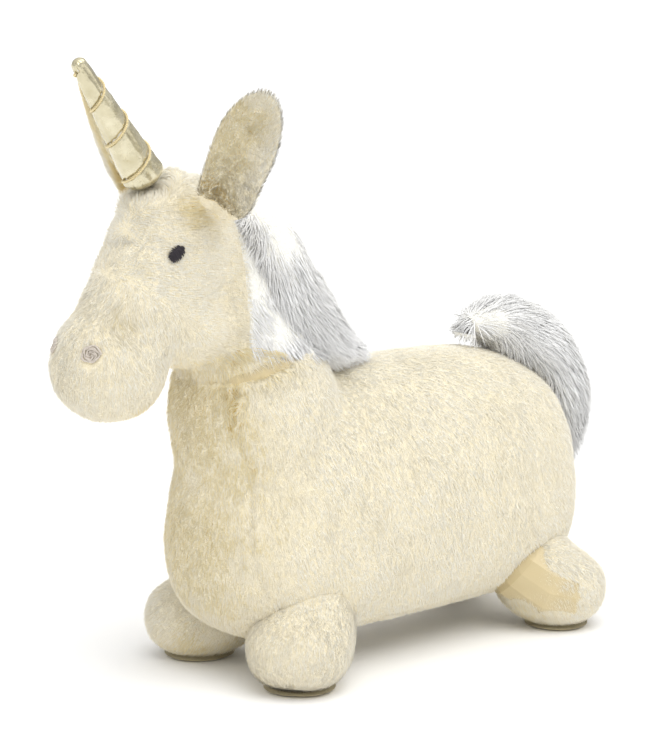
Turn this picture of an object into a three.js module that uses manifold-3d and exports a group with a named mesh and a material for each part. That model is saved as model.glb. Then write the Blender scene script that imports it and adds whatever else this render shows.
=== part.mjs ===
// Ride-on unicorn hopper: a blown-up bladder inside a fitted plush cover, with a stuffed horn,
// stuffed ears, a long-pile mane and a long-pile tail.
//
// Millimetres, +Z up. The unicorn faces -Y and its own left side is +X. Shapes are laid out from a
// point on the ground midway between the front feet, and the finished group is moved so that its
// origin is on the ground below the middle of its box.

import * as THREE from 'three';
import { mergeVertices } from 'three/addons/utils/BufferGeometryUtils.js';
import Module from 'manifold-3d';

const wasm = await Module();
wasm.setup();

const vec = (x, y, z) => new THREE.Vector3(x, y, z);
const up = vec(0, 0, 1);

// ---------------------------------------------------------------- driving dimensions

const GAP = 0.4; // between pieces that touch
const COVER = 8; // plush fabric, backing and lying pile together
const BLADDER_FIT = 2.5; // slack between cover and bladder
const BLADDER_WALL = 3;
const BLADDER_INSET = COVER + BLADDER_FIT;
const SOLE = 3; // thickness of a foot's sole

const BODY_FRONT = -64; // Y of the chest
const BODY_BACK = 380; // Y of the rump
const BODY_HALF_WIDTH = 106;
const BODY_HALF_HEIGHT = 131;
const BODY_MIDDLE = 147; // Z of the barrel's middle line
const BODY_LENGTHWISE_SQUARE = 2.8; // how blunt the chest and rump are
const BELLY = 22; // Z of the flat strip under the barrel that holds the zip

const SKULL = vec(0, -75, 402);
const MUZZLE = vec(0, -149, 302);
const MUZZLE_RADIUS = 57;
const MUZZLE_WIDER = 3; // how much wider than deep the muzzle is, each side
const SKULL_RADIUS = 61;
const SKULL_DEEPER = 5; // how much deeper than wide the skull is, each side
const HEAD_AXIS = vec().subVectors(MUZZLE, SKULL).normalize();

const FRONT_FOOT = vec(66, 10, 0);
const REAR_FOOT = vec(70, 312, 0);
const SPLAY = THREE.MathUtils.degToRad(42);
const FOOT_HALF_WIDTH = 55;
const FOOT_HALF_HEIGHT = 47;
const HIP_HIGHER = 4; // how much higher than the foot's middle the hip is, half its height
const TOE_LOWER = 8;
const FOOT_REACH = 60;
const HIP_RISE = 44; // from the foot's underside to the hip's
const FOOT_SUNK = 5; // how far the round underside is flattened by the ground

const HORN_ROOT = vec(0, -104, 454);
const HORN_TIP = vec(0, -178, 565);
const HORN_RADIUS = 18.5;
const HORN_TIP_RADIUS = 7.5;
const HORN_SKIN = 1.5;
const HORN_DOME = 5; // how far the horn's closed root reaches below its bending line
const HORN_LIFT = 9; // from the scalp to the horn's bending line
const HORN_CORD_RADIUS = 0.9;
const HORN_CORD_TURNS = 3.1;

const EAR_ROOT = vec(61, -75, 441); // on the ear's folding line, clear of the scalp
const EAR_AXIS = vec(0.58, 0.02, 0.81).normalize();
const EAR_LENGTH = 114;
const EAR_TURN = THREE.MathUtils.degToRad(40); // how far the ear's front looks outwards
const EAR_SKIN = 3;

const EYE = vec(54, -114, 400);
const EYE_RADIUS = 8;
const NOSTRIL = vec(26, -187, 320);
const NOSTRIL_RADIUS = 9;
const STITCHING = 1.4; // how far embroidery stands off the fabric

const TAIL_ROOT = vec(0, 267, 271.5); // on the back, in the middle of the tail's sewn root
const TAIL_CLEAR = 7; // between the tail and the rump
const TAIL_TAB = 2.4; // thickness of the tab that the tail is sewn to
const TAIL_TAB_LIFT = 1; // from the cover to the tab
const TAIL_TAB_RADIUS = 11;

const ZIP_FRONT = 70;
const ZIP_BACK = 252;
const TAPE_HALF_WIDTH = 12.5;
const TAPE = 1.2;
const COIL_HALF_WIDTH = 3;
const ZIP_PARTING = 0.8; // half the space between the two rows of coil
const SLIDER_LENGTH = 12;
const PULL_TAB = 13;

const VALVE_Y = 161;
const VALVE_DEPTH = 22; // of the pocket that the valve sits in
const VALVE_POCKET_RADIUS = 17;
const VALVE_SEAT_RADIUS = 5.5;
const VALVE_FLANGE_RADIUS = 10;
const VALVE_BORE_RADIUS = 3.3;
const PLUG_FIT = 0.1;

const SIDES = [['left', 1], ['right', -1]];
const FAR = 1000; // larger than the whole toy

// ---------------------------------------------------------------- finishes

const PLUSH = { color: 0xefe6cc, roughness: 1, metalness: 0 };
const TAN_PLUSH = { color: 0xdccfa6, roughness: 1, metalness: 0 };
const WHITE_PILE = { color: 0xf4f3ee, roughness: 1, metalness: 0 };
const SOLE_CLOTH = { color: 0xb9aa86, roughness: 0.95, metalness: 0 };
const FOIL_CLOTH = { color: 0xc9be93, roughness: 0.3, metalness: 0.8 };
const GOLD_CORD = { color: 0xc4a85a, roughness: 0.45, metalness: 0.6 };
const DARK_THREAD = { color: 0x231822, roughness: 0.7, metalness: 0 };
const GREY_THREAD = { color: 0xb8b0a4, roughness: 0.7, metalness: 0 };
const WADDING = { color: 0xf2f1ec, roughness: 1, metalness: 0 };
const BLADDER_VINYL = { color: 0xd9c9a0, roughness: 0.4, metalness: 0 };
const VALVE_VINYL = { color: 0xe8e6df, roughness: 0.35, metalness: 0 };
const ZIP_CLOTH = { color: 0xe3d9bd, roughness: 0.9, metalness: 0 };
const ZIP_METAL = { color: 0xb9b6ae, roughness: 0.35, metalness: 1 };

// ---------------------------------------------------------------- solids

/** A closed geometry as a manifold solid: only positions are kept, shared points are merged. */
function solid(geometry) {
  const bare = geometry.clone();
  bare.deleteAttribute('normal');
  bare.deleteAttribute('uv');
  const merged = mergeVertices(bare, 1e-4);
  const corners = merged.index.array;
  const kept = [];
  for (let i = 0; i < corners.length; i += 3) {
    const [a, b, c] = [corners[i], corners[i + 1], corners[i + 2]];
    if (a !== b && b !== c && c !== a) {
      kept.push(a, b, c);
    }
  }
  return new wasm.Manifold(new wasm.Mesh({
    numProp: 3,
    vertProperties: new Float32Array(merged.attributes.position.array),
    triVerts: new Uint32Array(kept),
  }));
}

/** The flat-shaded geometry of a manifold solid. */
function geometryOf(body) {
  const mesh = body.getMesh();
  const geometry = new THREE.BufferGeometry();
  geometry.setAttribute('position', new THREE.BufferAttribute(new Float32Array(mesh.vertProperties), 3));
  geometry.setIndex(new THREE.BufferAttribute(new Uint32Array(mesh.triVerts), 1));
  geometry.computeVertexNormals();
  return geometry;
}

/** A box between two corners. */
function block(low, high) {
  const geometry = new THREE.BoxGeometry(high.x - low.x, high.y - low.y, high.z - low.z);
  geometry.translate((low.x + high.x) / 2, (low.y + high.y) / 2, (low.z + high.z) / 2);
  return solid(geometry);
}

/** Everything on the side of a plane that its normal points to. */
function beyond(point, normal) {
  const geometry = new THREE.BoxGeometry(2 * FAR, 2 * FAR, 2 * FAR);
  geometry.translate(0, 0, FAR);
  const turn = new THREE.Quaternion().setFromUnitVectors(up, normal.clone().normalize());
  geometry.applyQuaternion(turn);
  geometry.translate(point.x, point.y, point.z);
  return solid(geometry);
}

/** An upright cylinder between two heights. */
function upright(x, y, low, high, radius, sides = 16) {
  const geometry = new THREE.CylinderGeometry(radius, radius, high - low, sides);
  geometry.rotateX(Math.PI / 2);
  geometry.translate(x, y, (low + high) / 2);
  return solid(geometry);
}

/** A round rod from one point to another. */
function rod(start, end, radius, sides = 16) {
  const line = vec().subVectors(end, start);
  const geometry = new THREE.CylinderGeometry(radius, radius, line.length(), sides);
  const turn = new THREE.Quaternion().setFromUnitVectors(vec(0, 1, 0), line.clone().normalize());
  geometry.applyQuaternion(turn);
  geometry.translate((start.x + end.x) / 2, (start.y + end.y) / 2, (start.z + end.z) / 2);
  return solid(geometry);
}

/**
 * A rounded form along a spine that keeps one value of x, made from a unit sphere: its height
 * becomes the way along the spine and its rings become the sections, half a width along x and half
 * a depth square to both. endSquare and ringSquare are exponents of the rounding, 2 for an ellipse.
 */
function limb({
  spine, sizes, endSquare = 2, ringSquare = 2, inset = 0, sides = 16, rings = 8, place = null,
}) {
  const line = new THREE.CatmullRomCurve3(spine);
  const section = new THREE.CatmullRomCurve3(sizes.map(([width, depth]) => vec(width, depth, 0)));
  const across = vec(1, 0, 0);
  const length = line.getLength();
  const cut = inset / length;
  const geometry = new THREE.SphereGeometry(1, sides, rings);
  const points = geometry.attributes.position;
  const point = vec();
  for (let i = 0; i < points.count; i += 1) {
    point.fromBufferAttribute(points, i);
    const along = THREE.MathUtils.clamp(point.y, -1, 1);
    const way = cut + (1 - 2 * cut) * (1 + along) / 2;
    const t = THREE.MathUtils.clamp(way, 0, 1);
    const round = Math.pow(Math.max(0, 1 - Math.pow(Math.abs(along), endSquare)), 1 / endSquare);
    const turn = Math.atan2(point.z, point.x);
    const acrossShare = Math.pow(Math.abs(Math.cos(turn)), ringSquare);
    const deepShare = Math.pow(Math.abs(Math.sin(turn)), ringSquare);
    const reach = round * Math.pow(acrossShare + deepShare, -1 / ringSquare);
    const size = section.getPoint(t);
    const tangent = line.getTangent(t);
    const normal = vec().crossVectors(across, tangent);
    point.copy(line.getPoint(t)).addScaledVector(tangent, (way - t) * length);
    point.addScaledVector(across, Math.cos(turn) * reach * (size.x - inset));
    point.addScaledVector(normal, Math.sin(turn) * reach * (size.y - inset));
    points.setXYZ(i, point.x, point.y, point.z);
  }
  if (place) {
    geometry.applyMatrix4(place);
  }
  return solid(geometry);
}

// ---------------------------------------------------------------- the animal's form, by inset

function barrel(inset) {
  const section = [BODY_HALF_WIDTH, BODY_HALF_HEIGHT];
  return limb({
    spine: [
      vec(0, BODY_FRONT, BODY_MIDDLE),
      vec(0, (BODY_FRONT + BODY_BACK) / 2, BODY_MIDDLE),
      vec(0, BODY_BACK, BODY_MIDDLE),
    ],
    sizes: [section, section, section],
    endSquare: BODY_LENGTHWISE_SQUARE,
    inset,
    sides: inset < BLADDER_INSET ? 20 : 16,
    rings: inset < BLADDER_INSET ? 10 : 8,
  }).intersect(beyond(vec(0, 0, BELLY + inset), vec(0, 0, 1)));
}

function neck(inset) {
  return limb({
    spine: [vec(0, 36, 110), vec(0, 12, 240), vec(0, -10, 330), vec(0, -44, 424)],
    sizes: [[92, 98], [84, 88], [60, 60], [54, 50]],
    endSquare: 3,
    inset,
  });
}

function head(inset) {
  return limb({
    spine: [vec(0, -32, 450), SKULL, vec(0, -112, 354), MUZZLE, vec(0, -180, 258)],
    sizes: [
      [SKULL_RADIUS, SKULL_RADIUS],
      [SKULL_RADIUS, SKULL_RADIUS + SKULL_DEEPER],
      [57, 54],
      [56, 50],
      [54, 48],
    ],
    endSquare: 2.3,
    inset,
  });
}

function muzzle(inset) {
  const section = [MUZZLE_RADIUS + MUZZLE_WIDER, MUZZLE_RADIUS];
  return limb({
    spine: [vec(0, MUZZLE.y + MUZZLE_RADIUS, MUZZLE.z), vec(0, MUZZLE.y - MUZZLE_RADIUS, MUZZLE.z)],
    sizes: [section, section],
    endSquare: 2.1,
    inset,
    sides: 14,
    rings: 6,
  });
}

function animal(inset) {
  return barrel(inset).add(neck(inset)).add(head(inset)).add(muzzle(inset));
}

/** A stubby leg that leans out from the barrel and rests its rounded end on the ground. */
function leg(foot, turn, side, inset, floor) {
  const place = new THREE.Matrix4().makeRotationZ(turn * side);
  place.setPosition(foot.x * side, foot.y, 0);
  const hip = FOOT_HALF_HEIGHT + HIP_HIGHER;
  const toe = FOOT_HALF_HEIGHT - TOE_LOWER;
  return limb({
    spine: [
      vec(0, FOOT_REACH, hip - FOOT_SUNK + HIP_RISE),
      vec(0, 0, FOOT_HALF_HEIGHT - FOOT_SUNK),
      vec(0, -FOOT_REACH, toe - FOOT_SUNK),
    ],
    sizes: [[FOOT_HALF_WIDTH, hip], [FOOT_HALF_WIDTH, FOOT_HALF_HEIGHT], [FOOT_HALF_WIDTH, toe]],
    endSquare: 2.5,
    ringSquare: 2.3,
    inset,
    sides: 14,
    rings: 6,
    place,
  }).intersect(beyond(vec(0, 0, floor), vec(0, 0, 1)));
}

const LEGS = SIDES.flatMap(([sideName, side]) => [
  { name: `front_${sideName}`, form: (inset, floor) => leg(FRONT_FOOT, SPLAY, side, inset, floor) },
  { name: `rear_${sideName}`, form: (inset, floor) => leg(REAR_FOOT, Math.PI - SPLAY, side, inset, floor) },
]);

/** The animal with its four legs, hollow side down to the given height above the ground. */
function filled(inset, floor) {
  return LEGS.reduce((body, { form }) => body.add(form(inset, floor)), animal(inset));
}

// ---------------------------------------------------------------- the group

const toy = new THREE.Group();

function add(name, body, finish, parent = toy) {
  const mesh = new THREE.Mesh(geometryOf(body), new THREE.MeshStandardMaterial(finish));
  mesh.name = name;
  parent.add(mesh);
  return mesh;
}

// ---------------------------------------------------------------- plush cover, cut along its seams

const skin = animal(0).subtract(filled(COVER, SOLE + GAP));
const half = GAP / 2;

const neckSeam = vec(0, 0, 294);
const neckSeamNormal = vec(0, -0.3, 1).normalize();
const muzzleSeam = vec(0, -116, 346);
const throat = -86; // Y of the back of the muzzle's panel

const muzzleSide = beyond(muzzleSeam, HEAD_AXIS).intersect(beyond(vec(0, throat, 0), vec(0, -1, 0)));
const muzzleCut = beyond(muzzleSeam.clone().addScaledVector(HEAD_AXIS, -GAP), HEAD_AXIS)
  .intersect(beyond(vec(0, throat + GAP, 0), vec(0, -1, 0)));
const aboveNeckSeam = beyond(neckSeam.clone().addScaledVector(neckSeamNormal, half), neckSeamNormal);
const belowNeckSeam = beyond(
  neckSeam.clone().addScaledVector(neckSeamNormal, -half),
  neckSeamNormal.clone().negate(),
);
const leftHalf = beyond(vec(half, 0, 0), vec(1, 0, 0));
const rightHalf = beyond(vec(-half, 0, 0), vec(-1, 0, 0));
const halves = { left: leftHalf, right: rightHalf };

add('cover_muzzle', skin.intersect(muzzleSide), PLUSH);

const upperSkin = skin.intersect(aboveNeckSeam).subtract(muzzleCut);
const foreheadSide = vec(0, HEAD_AXIS.z, -HEAD_AXIS.y);
const foreheadHalfWidth = 22;
function foreheadRegion(grow) {
  const strip = block(vec(-foreheadHalfWidth - grow, -FAR, 0), vec(foreheadHalfWidth + grow, FAR, FAR));
  return strip.intersect(beyond(SKULL.clone().addScaledVector(foreheadSide, -grow), foreheadSide));
}
add('cover_forehead', upperSkin.intersect(foreheadRegion(0)), PLUSH);
for (const [sideName] of SIDES) {
  add(`cover_head_${sideName}`, upperSkin.subtract(foreheadRegion(GAP)).intersect(halves[sideName]), PLUSH);
}

const lowerSkin = skin.intersect(belowNeckSeam).subtract(muzzleCut);
const bellyHalfWidth = 58;
const bellyTop = 62;
const bellyFront = 22;
const bellyBack = 318;
function bellyRegion(grow) {
  return block(
    vec(-bellyHalfWidth - grow, bellyFront - grow, 0),
    vec(bellyHalfWidth + grow, bellyBack + grow, bellyTop + grow),
  );
}
const chestTop = 300;
const chestTopHalfWidth = 40;
const chestFootHalfWidth = 78;
const chestBack = bellyFront - GAP;
function chestRegion(grow) {
  const front = new THREE.Shape([
    new THREE.Vector2(-chestFootHalfWidth - grow, 0),
    new THREE.Vector2(chestFootHalfWidth + grow, 0),
    new THREE.Vector2(chestTopHalfWidth + grow, chestTop),
    new THREE.Vector2(-chestTopHalfWidth - grow, chestTop),
  ]);
  const geometry = new THREE.ExtrudeGeometry(front, { depth: FAR, bevelEnabled: false });
  geometry.rotateX(Math.PI / 2);
  geometry.translate(0, chestBack + grow, 0);
  return solid(geometry);
}
const zipSlot = block(
  vec(-TAPE_HALF_WIDTH - GAP, ZIP_FRONT - GAP, 0),
  vec(TAPE_HALF_WIDTH + GAP, ZIP_BACK + GAP, bellyTop),
);
add('cover_belly', lowerSkin.intersect(bellyRegion(0)).subtract(zipSlot), PLUSH);
add('cover_chest', lowerSkin.intersect(chestRegion(0)), PLUSH);
for (const [sideName] of SIDES) {
  const side = lowerSkin.subtract(bellyRegion(GAP)).subtract(chestRegion(GAP)).intersect(halves[sideName]);
  add(`cover_side_${sideName}`, side, PLUSH);
}

for (const { name, form } of LEGS) {
  const sleeve = form(0, SOLE + GAP).subtract(form(COVER, -FAR)).subtract(animal(-GAP));
  add(`leg_${name}`, sleeve, TAN_PLUSH);
  const sole = form(0, 0).intersect(beyond(vec(0, 0, SOLE), vec(0, 0, -1)));
  add(`sole_${name}`, sole, SOLE_CLOTH);
}

// ---------------------------------------------------------------- bladder, valve seat and plug

const bladderFloor = SOLE + BLADDER_FIT;
const airInset = BLADDER_INSET + BLADDER_WALL;
const bladderBelly = BELLY + BLADDER_INSET;
const pocketTop = bladderBelly + VALVE_DEPTH;
const pocket = upright(0, VALVE_Y, 0, pocketTop, VALVE_POCKET_RADIUS);
const pocketWall = upright(0, VALVE_Y, 0, pocketTop + BLADDER_WALL, VALVE_POCKET_RADIUS + BLADDER_WALL);
const seatHole = upright(0, VALVE_Y, 0, pocketTop + 2 * BLADDER_WALL, VALVE_SEAT_RADIUS + GAP);
const air = filled(airInset, bladderFloor + BLADDER_WALL).subtract(pocketWall);
const blownUp = filled(BLADDER_INSET, bladderFloor).intersect(filled(COVER + GAP, SOLE + 2 * GAP));
add('bladder', blownUp.subtract(pocket).subtract(air).subtract(seatHole), BLADDER_VINYL);

const flangeTop = pocketTop - GAP;
const flangeThickness = 1.8;
const seatBarrelTop = pocketTop + BLADDER_WALL + 2;
const seatBore = upright(0, VALVE_Y, 0, FAR, VALVE_BORE_RADIUS);
const seat = upright(0, VALVE_Y, flangeTop - flangeThickness, seatBarrelTop, VALVE_SEAT_RADIUS)
  .add(upright(0, VALVE_Y, flangeTop - flangeThickness, flangeTop, VALVE_FLANGE_RADIUS))
  .subtract(seatBore);
add('valve_seat', seat, VALVE_VINYL);

const capTop = flangeTop - flangeThickness - GAP;
const capThickness = 3;
const capRadius = 8;
const stemTop = seatBarrelTop + 1;
const plug = upright(0, VALVE_Y, capTop - capThickness, capTop, capRadius)
  .add(upright(0, VALVE_Y, capTop - capThickness, stemTop, VALVE_BORE_RADIUS - PLUG_FIT));
add('valve_plug', plug, VALVE_VINYL);

// ---------------------------------------------------------------- zip

const tapeLow = BELLY + 1;
const tapeHigh = tapeLow + TAPE;
const coilProud = 0.7; // how far the coil stands off its tape on both faces
const coilLow = tapeLow - coilProud;
const coilHigh = tapeHigh + coilProud;
const coilEnd = 6; // of bare tape beyond each end of the coil
for (const [sideName, side] of SIDES) {
  const inner = Math.min(side * ZIP_PARTING, side * TAPE_HALF_WIDTH);
  const outer = Math.max(side * ZIP_PARTING, side * TAPE_HALF_WIDTH);
  const tape = block(vec(inner, ZIP_FRONT, tapeLow), vec(outer, ZIP_BACK, tapeHigh));
  const coilInner = Math.min(side * ZIP_PARTING, side * COIL_HALF_WIDTH);
  const coilOuter = Math.max(side * ZIP_PARTING, side * COIL_HALF_WIDTH);
  const coil = block(
    vec(coilInner, ZIP_FRONT + coilEnd, coilLow),
    vec(coilOuter, ZIP_BACK - coilEnd, coilHigh),
  );
  add(`zip_tape_${sideName}`, tape.add(coil), ZIP_CLOTH);
}

const stopLength = 2.5;
const stopInset = 1.5;
const stopHalfWidth = COIL_HALF_WIDTH + 1;
const stopLow = coilLow - 0.6;
const stops = [['front', ZIP_FRONT + stopInset], ['rear', ZIP_BACK - stopInset - stopLength]];
for (const [endName, y] of stops) {
  const low = vec(-stopHalfWidth, y, stopLow);
  const high = vec(stopHalfWidth, y + stopLength, tapeLow - GAP);
  add(`zip_stop_${endName}`, block(low, high), ZIP_METAL);
}

const sliderFront = ZIP_FRONT + 8;
const sliderBack = sliderFront + SLIDER_LENGTH;
const sliderMiddle = (sliderFront + sliderBack) / 2;
const sliderHalfWidth = 5;
const plate = 1.5;
const lipWidth = 0.9;
const webHalfWidth = 0.4; // of the web between the plates, which parts the two rows of coil
const webLength = 4;
const lowerPlateTop = coilLow - GAP;
const lowerPlateLow = lowerPlateTop - plate;
const upperPlateLow = coilHigh + GAP;
const pinZ = lowerPlateLow - 0.9; // the pull tab's swinging line
const pinRadius = 0.45;
const crownDrop = 2.6;
const crownHalfWidth = 1.1;
const crownReach = 3.6;
const crownWall = 1;

function slider() {
  const across = sliderHalfWidth;
  const top = upperPlateLow + plate;
  let body = block(vec(-across, sliderFront, lowerPlateLow), vec(across, sliderBack, lowerPlateTop));
  body = body.add(block(vec(-across, sliderFront, upperPlateLow), vec(across, sliderBack, top)));
  body = body.add(block(
    vec(-webHalfWidth, sliderFront, lowerPlateLow),
    vec(webHalfWidth, sliderFront + webLength, top),
  ));
  for (const side of [-1, 1]) {
    const edge = Math.min(side * across, side * (across - lipWidth));
    const lipTop = tapeLow - GAP;
    const lipBottom = tapeHigh + GAP;
    body = body.add(block(vec(edge, sliderFront, lowerPlateLow), vec(edge + lipWidth, sliderBack, lipTop)));
    body = body.add(block(vec(edge, sliderFront, lipBottom), vec(edge + lipWidth, sliderBack, top)));
    const post = sliderMiddle + side * crownReach;
    body = body.add(block(
      vec(-crownHalfWidth, post - crownWall / 2, lowerPlateLow - crownDrop),
      vec(crownHalfWidth, post + crownWall / 2, lowerPlateTop),
    ));
  }
  return body.add(block(
    vec(-crownHalfWidth, sliderMiddle - crownReach, lowerPlateLow - crownDrop),
    vec(crownHalfWidth, sliderMiddle + crownReach, lowerPlateLow - crownDrop + crownWall),
  ));
}
add('zip_slider', slider(), ZIP_METAL);

const tabHalfWidth = 3.6;
const tabArm = 1.4;
const tabHead = 5; // how far the tab's window reaches below its pin
const tabBody = block(
  vec(-tabHalfWidth, sliderMiddle - pinRadius, pinZ - PULL_TAB),
  vec(tabHalfWidth, sliderMiddle + pinRadius, pinZ + pinRadius),
).subtract(block(
  vec(-tabHalfWidth + tabArm, sliderMiddle - 1, pinZ - tabHead),
  vec(tabHalfWidth - tabArm, sliderMiddle + 1, pinZ - pinRadius),
));
add('zip_pull_tab', tabBody, ZIP_METAL);

// ---------------------------------------------------------------- horn

const hornAxis = vec().subVectors(HORN_TIP, HORN_ROOT).normalize();
const hornBend = HORN_ROOT.clone().addScaledVector(hornAxis, HORN_LIFT);
const hornLength = hornBend.distanceTo(HORN_TIP);
const horn = new THREE.Group();
horn.position.copy(hornBend);
horn.quaternion.setFromUnitVectors(up, hornAxis);
toy.add(horn);

function hornForm(inset) {
  const root = HORN_RADIUS - inset;
  const tip = HORN_TIP_RADIUS - inset;
  const top = hornLength - inset;
  const low = -HORN_DOME + inset;
  const profile = [
    new THREE.Vector2(0, low),
    new THREE.Vector2(root * 0.6, low + 0.9),
    new THREE.Vector2(root * 0.92, low + 3),
    new THREE.Vector2(root, low + 6.5),
  ];
  const capSteps = 4;
  for (let i = 0; i < capSteps; i += 1) {
    const turn = i / capSteps * Math.PI / 2;
    profile.push(new THREE.Vector2(tip * Math.cos(turn), top - tip + tip * Math.sin(turn)));
  }
  profile.push(new THREE.Vector2(0, top));
  const geometry = new THREE.LatheGeometry(profile, 12);
  geometry.rotateX(Math.PI / 2);
  return solid(geometry);
}
const turningHoleRadius = 4; // the sewn cone is turned out and stuffed through it
const turningHole = upright(0, 0, -FAR, 0, turningHoleRadius, 10);
add('horn_cover', hornForm(0).subtract(hornForm(HORN_SKIN)).subtract(turningHole), FOIL_CLOTH, horn);
add('horn_stuffing', hornForm(HORN_SKIN + GAP), WADDING, horn);

const cordStart = 4; // height of the cord's lower end on the horn
const cordEnd = hornLength - HORN_TIP_RADIUS - 2;

/** A winding up the horn that stays just off its skin. */
class HornWinding extends THREE.Curve {
  getPoint(t, target = vec()) {
    const height = THREE.MathUtils.lerp(cordStart, cordEnd, t);
    const slope = height / (hornLength - HORN_TIP_RADIUS);
    const radius = THREE.MathUtils.lerp(HORN_RADIUS, HORN_TIP_RADIUS, slope) + HORN_CORD_RADIUS + GAP;
    const turn = 2 * Math.PI * HORN_CORD_TURNS * t;
    return target.set(radius * Math.cos(turn), radius * Math.sin(turn), height);
  }
}
const cordSection = new THREE.Shape();
cordSection.absarc(0, 0, HORN_CORD_RADIUS, 0, 2 * Math.PI);
const cord = new THREE.ExtrudeGeometry(cordSection, {
  steps: 40,
  curveSegments: 2,
  extrudePath: new HornWinding(),
});
add('horn_cord', solid(cord), GOLD_CORD, horn);

// ---------------------------------------------------------------- ears

function earForm(inset) {
  return limb({
    spine: [vec(0, 0, -8), vec(0, 0, EAR_LENGTH / 2), vec(0, 0, EAR_LENGTH)],
    sizes: [[27, 12], [31, 12], [24, 9]],
    endSquare: 2.3,
    inset,
    sides: 12,
    rings: 6,
  });
}

for (const [sideName, side] of SIDES) {
  const axis = vec(EAR_AXIS.x * side, EAR_AXIS.y, EAR_AXIS.z);
  const front = vec(Math.sin(EAR_TURN) * side, -Math.cos(EAR_TURN), 0);
  const back = front.clone().addScaledVector(axis, -front.dot(axis)).normalize().negate();
  const width = vec().crossVectors(back, axis);
  const ear = new THREE.Group();
  ear.position.set(EAR_ROOT.x * side, EAR_ROOT.y, EAR_ROOT.z);
  ear.quaternion.setFromRotationMatrix(new THREE.Matrix4().makeBasis(width, back, axis));
  toy.add(ear);
  const shell = earForm(0).subtract(earForm(EAR_SKIN));
  add(`ear_${sideName}_back`, shell.intersect(beyond(vec(0, half, 0), vec(0, 1, 0))), PLUSH, ear);
  add(`ear_${sideName}_front`, shell.intersect(beyond(vec(0, -half, 0), vec(0, -1, 0))), TAN_PLUSH, ear);
  add(`ear_${sideName}_wadding`, earForm(EAR_SKIN + GAP), WADDING, ear);
}

// ---------------------------------------------------------------- mane and tail

const mane = limb({
  spine: [vec(0, -28, 446), vec(0, 2, 404), vec(0, 24, 352), vec(0, 70, 304), vec(0, 136, 272)],
  sizes: [[46, 26], [60, 42], [66, 46], [64, 36], [34, 24]],
  endSquare: 2.4,
  rings: 10,
  sides: 12,
});
add('mane', mane.subtract(animal(-GAP)), WHITE_PILE);

const tailSpine = [
  vec(0, 256, 284), vec(0, 310, 282), vec(0, 362, 248), vec(0, 388, 196), vec(0, 390, 132),
];
const tailForm = (inset) => limb({
  spine: tailSpine,
  sizes: [[26, 20], [40, 34], [44, 38], [42, 36], [30, 30]],
  endSquare: 2.4,
  inset,
  rings: 8,
  sides: 12,
});
const behindTailRoot = beyond(vec(0, TAIL_ROOT.y, 0), vec(0, 1, 0));
const tailRoom = animal(-TAIL_CLEAR);
const coreInset = 24;
const coreClear = TAIL_CLEAR + 3;
const core = tailForm(coreInset).intersect(behindTailRoot).subtract(animal(-coreClear));
const pile = tailForm(0).intersect(behindTailRoot).subtract(tailRoom).subtract(tailForm(coreInset - GAP));
const tabAxis = vec(0, 0.25, 1).normalize();
const tabLow = TAIL_ROOT.clone().addScaledVector(tabAxis, TAIL_TAB_LIFT);
const tabHigh = tabLow.clone().addScaledVector(tabAxis, TAIL_TAB);
add('tail_tab', rod(tabLow, tabHigh, TAIL_TAB_RADIUS), PLUSH);
add('tail_core', core, WADDING);
add('tail_pile', pile, WHITE_PILE);

// ---------------------------------------------------------------- embroidery

/** A round patch of stitching that follows the fabric around one point of it. */
function embroidery(centre, point, radius) {
  const outward = vec().subVectors(point, centre).normalize();
  const toEachSide = 20;
  const start = point.clone().addScaledVector(outward, -toEachSide);
  const end = point.clone().addScaledVector(outward, toEachSide);
  return rod(start, end, radius).intersect(animal(-GAP - STITCHING).subtract(animal(-GAP)));
}
for (const [sideName, side] of SIDES) {
  const mirrored = (point) => vec(point.x * side, point.y, point.z);
  add(`eye_${sideName}`, embroidery(SKULL, mirrored(EYE), EYE_RADIUS), DARK_THREAD);
  add(`nostril_${sideName}`, embroidery(MUZZLE, mirrored(NOSTRIL), NOSTRIL_RADIUS), GREY_THREAD);
}

// ---------------------------------------------------------------- origin

toy.updateMatrixWorld(true);
const box = new THREE.Box3().setFromObject(toy, true);
const centre = box.getCenter(vec());
toy.position.set(-centre.x, -centre.y, -box.min.z);

export default toy;
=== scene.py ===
"""A ride-on plush unicorn: a blown-up bladder in a padded cover of cream pile, with a stuffed foil
horn, stuffed ears, a long white mane and tail, embroidered eyes and nostrils, and a belly zip.

Shapes are laid out in millimetres from the point on the ground midway between the front feet, with the
unicorn facing -Y and its left side at +X, and go into the meshes in metres, in the frame's own place.
"""

import math

import bmesh
import bpy
import numpy as np
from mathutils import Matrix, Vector


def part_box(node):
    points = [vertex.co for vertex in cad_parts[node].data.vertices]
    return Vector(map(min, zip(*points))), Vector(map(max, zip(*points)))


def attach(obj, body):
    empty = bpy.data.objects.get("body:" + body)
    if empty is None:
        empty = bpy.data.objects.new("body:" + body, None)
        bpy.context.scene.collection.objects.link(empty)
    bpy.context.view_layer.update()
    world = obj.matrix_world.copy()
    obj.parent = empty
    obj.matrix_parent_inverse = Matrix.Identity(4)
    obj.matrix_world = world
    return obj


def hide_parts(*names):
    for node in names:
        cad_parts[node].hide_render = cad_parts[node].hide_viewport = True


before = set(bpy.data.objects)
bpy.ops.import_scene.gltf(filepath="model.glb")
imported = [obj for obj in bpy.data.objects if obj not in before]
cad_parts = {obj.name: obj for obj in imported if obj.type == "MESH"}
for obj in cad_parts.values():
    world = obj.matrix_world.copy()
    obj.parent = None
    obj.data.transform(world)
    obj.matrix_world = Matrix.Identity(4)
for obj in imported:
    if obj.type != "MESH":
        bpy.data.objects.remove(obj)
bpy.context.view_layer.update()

MM = 0.001
LATTICE = 32  # cells before a random field repeats
ZIP_FRONT = 70.0  # from the point between the front feet to the front end of the zip
STANCE_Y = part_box("zip_tape_left")[0].y / MM - ZIP_FRONT
SIDES = (("left", 1), ("right", -1))

# ---------------------------------------------------------------- camera

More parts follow.
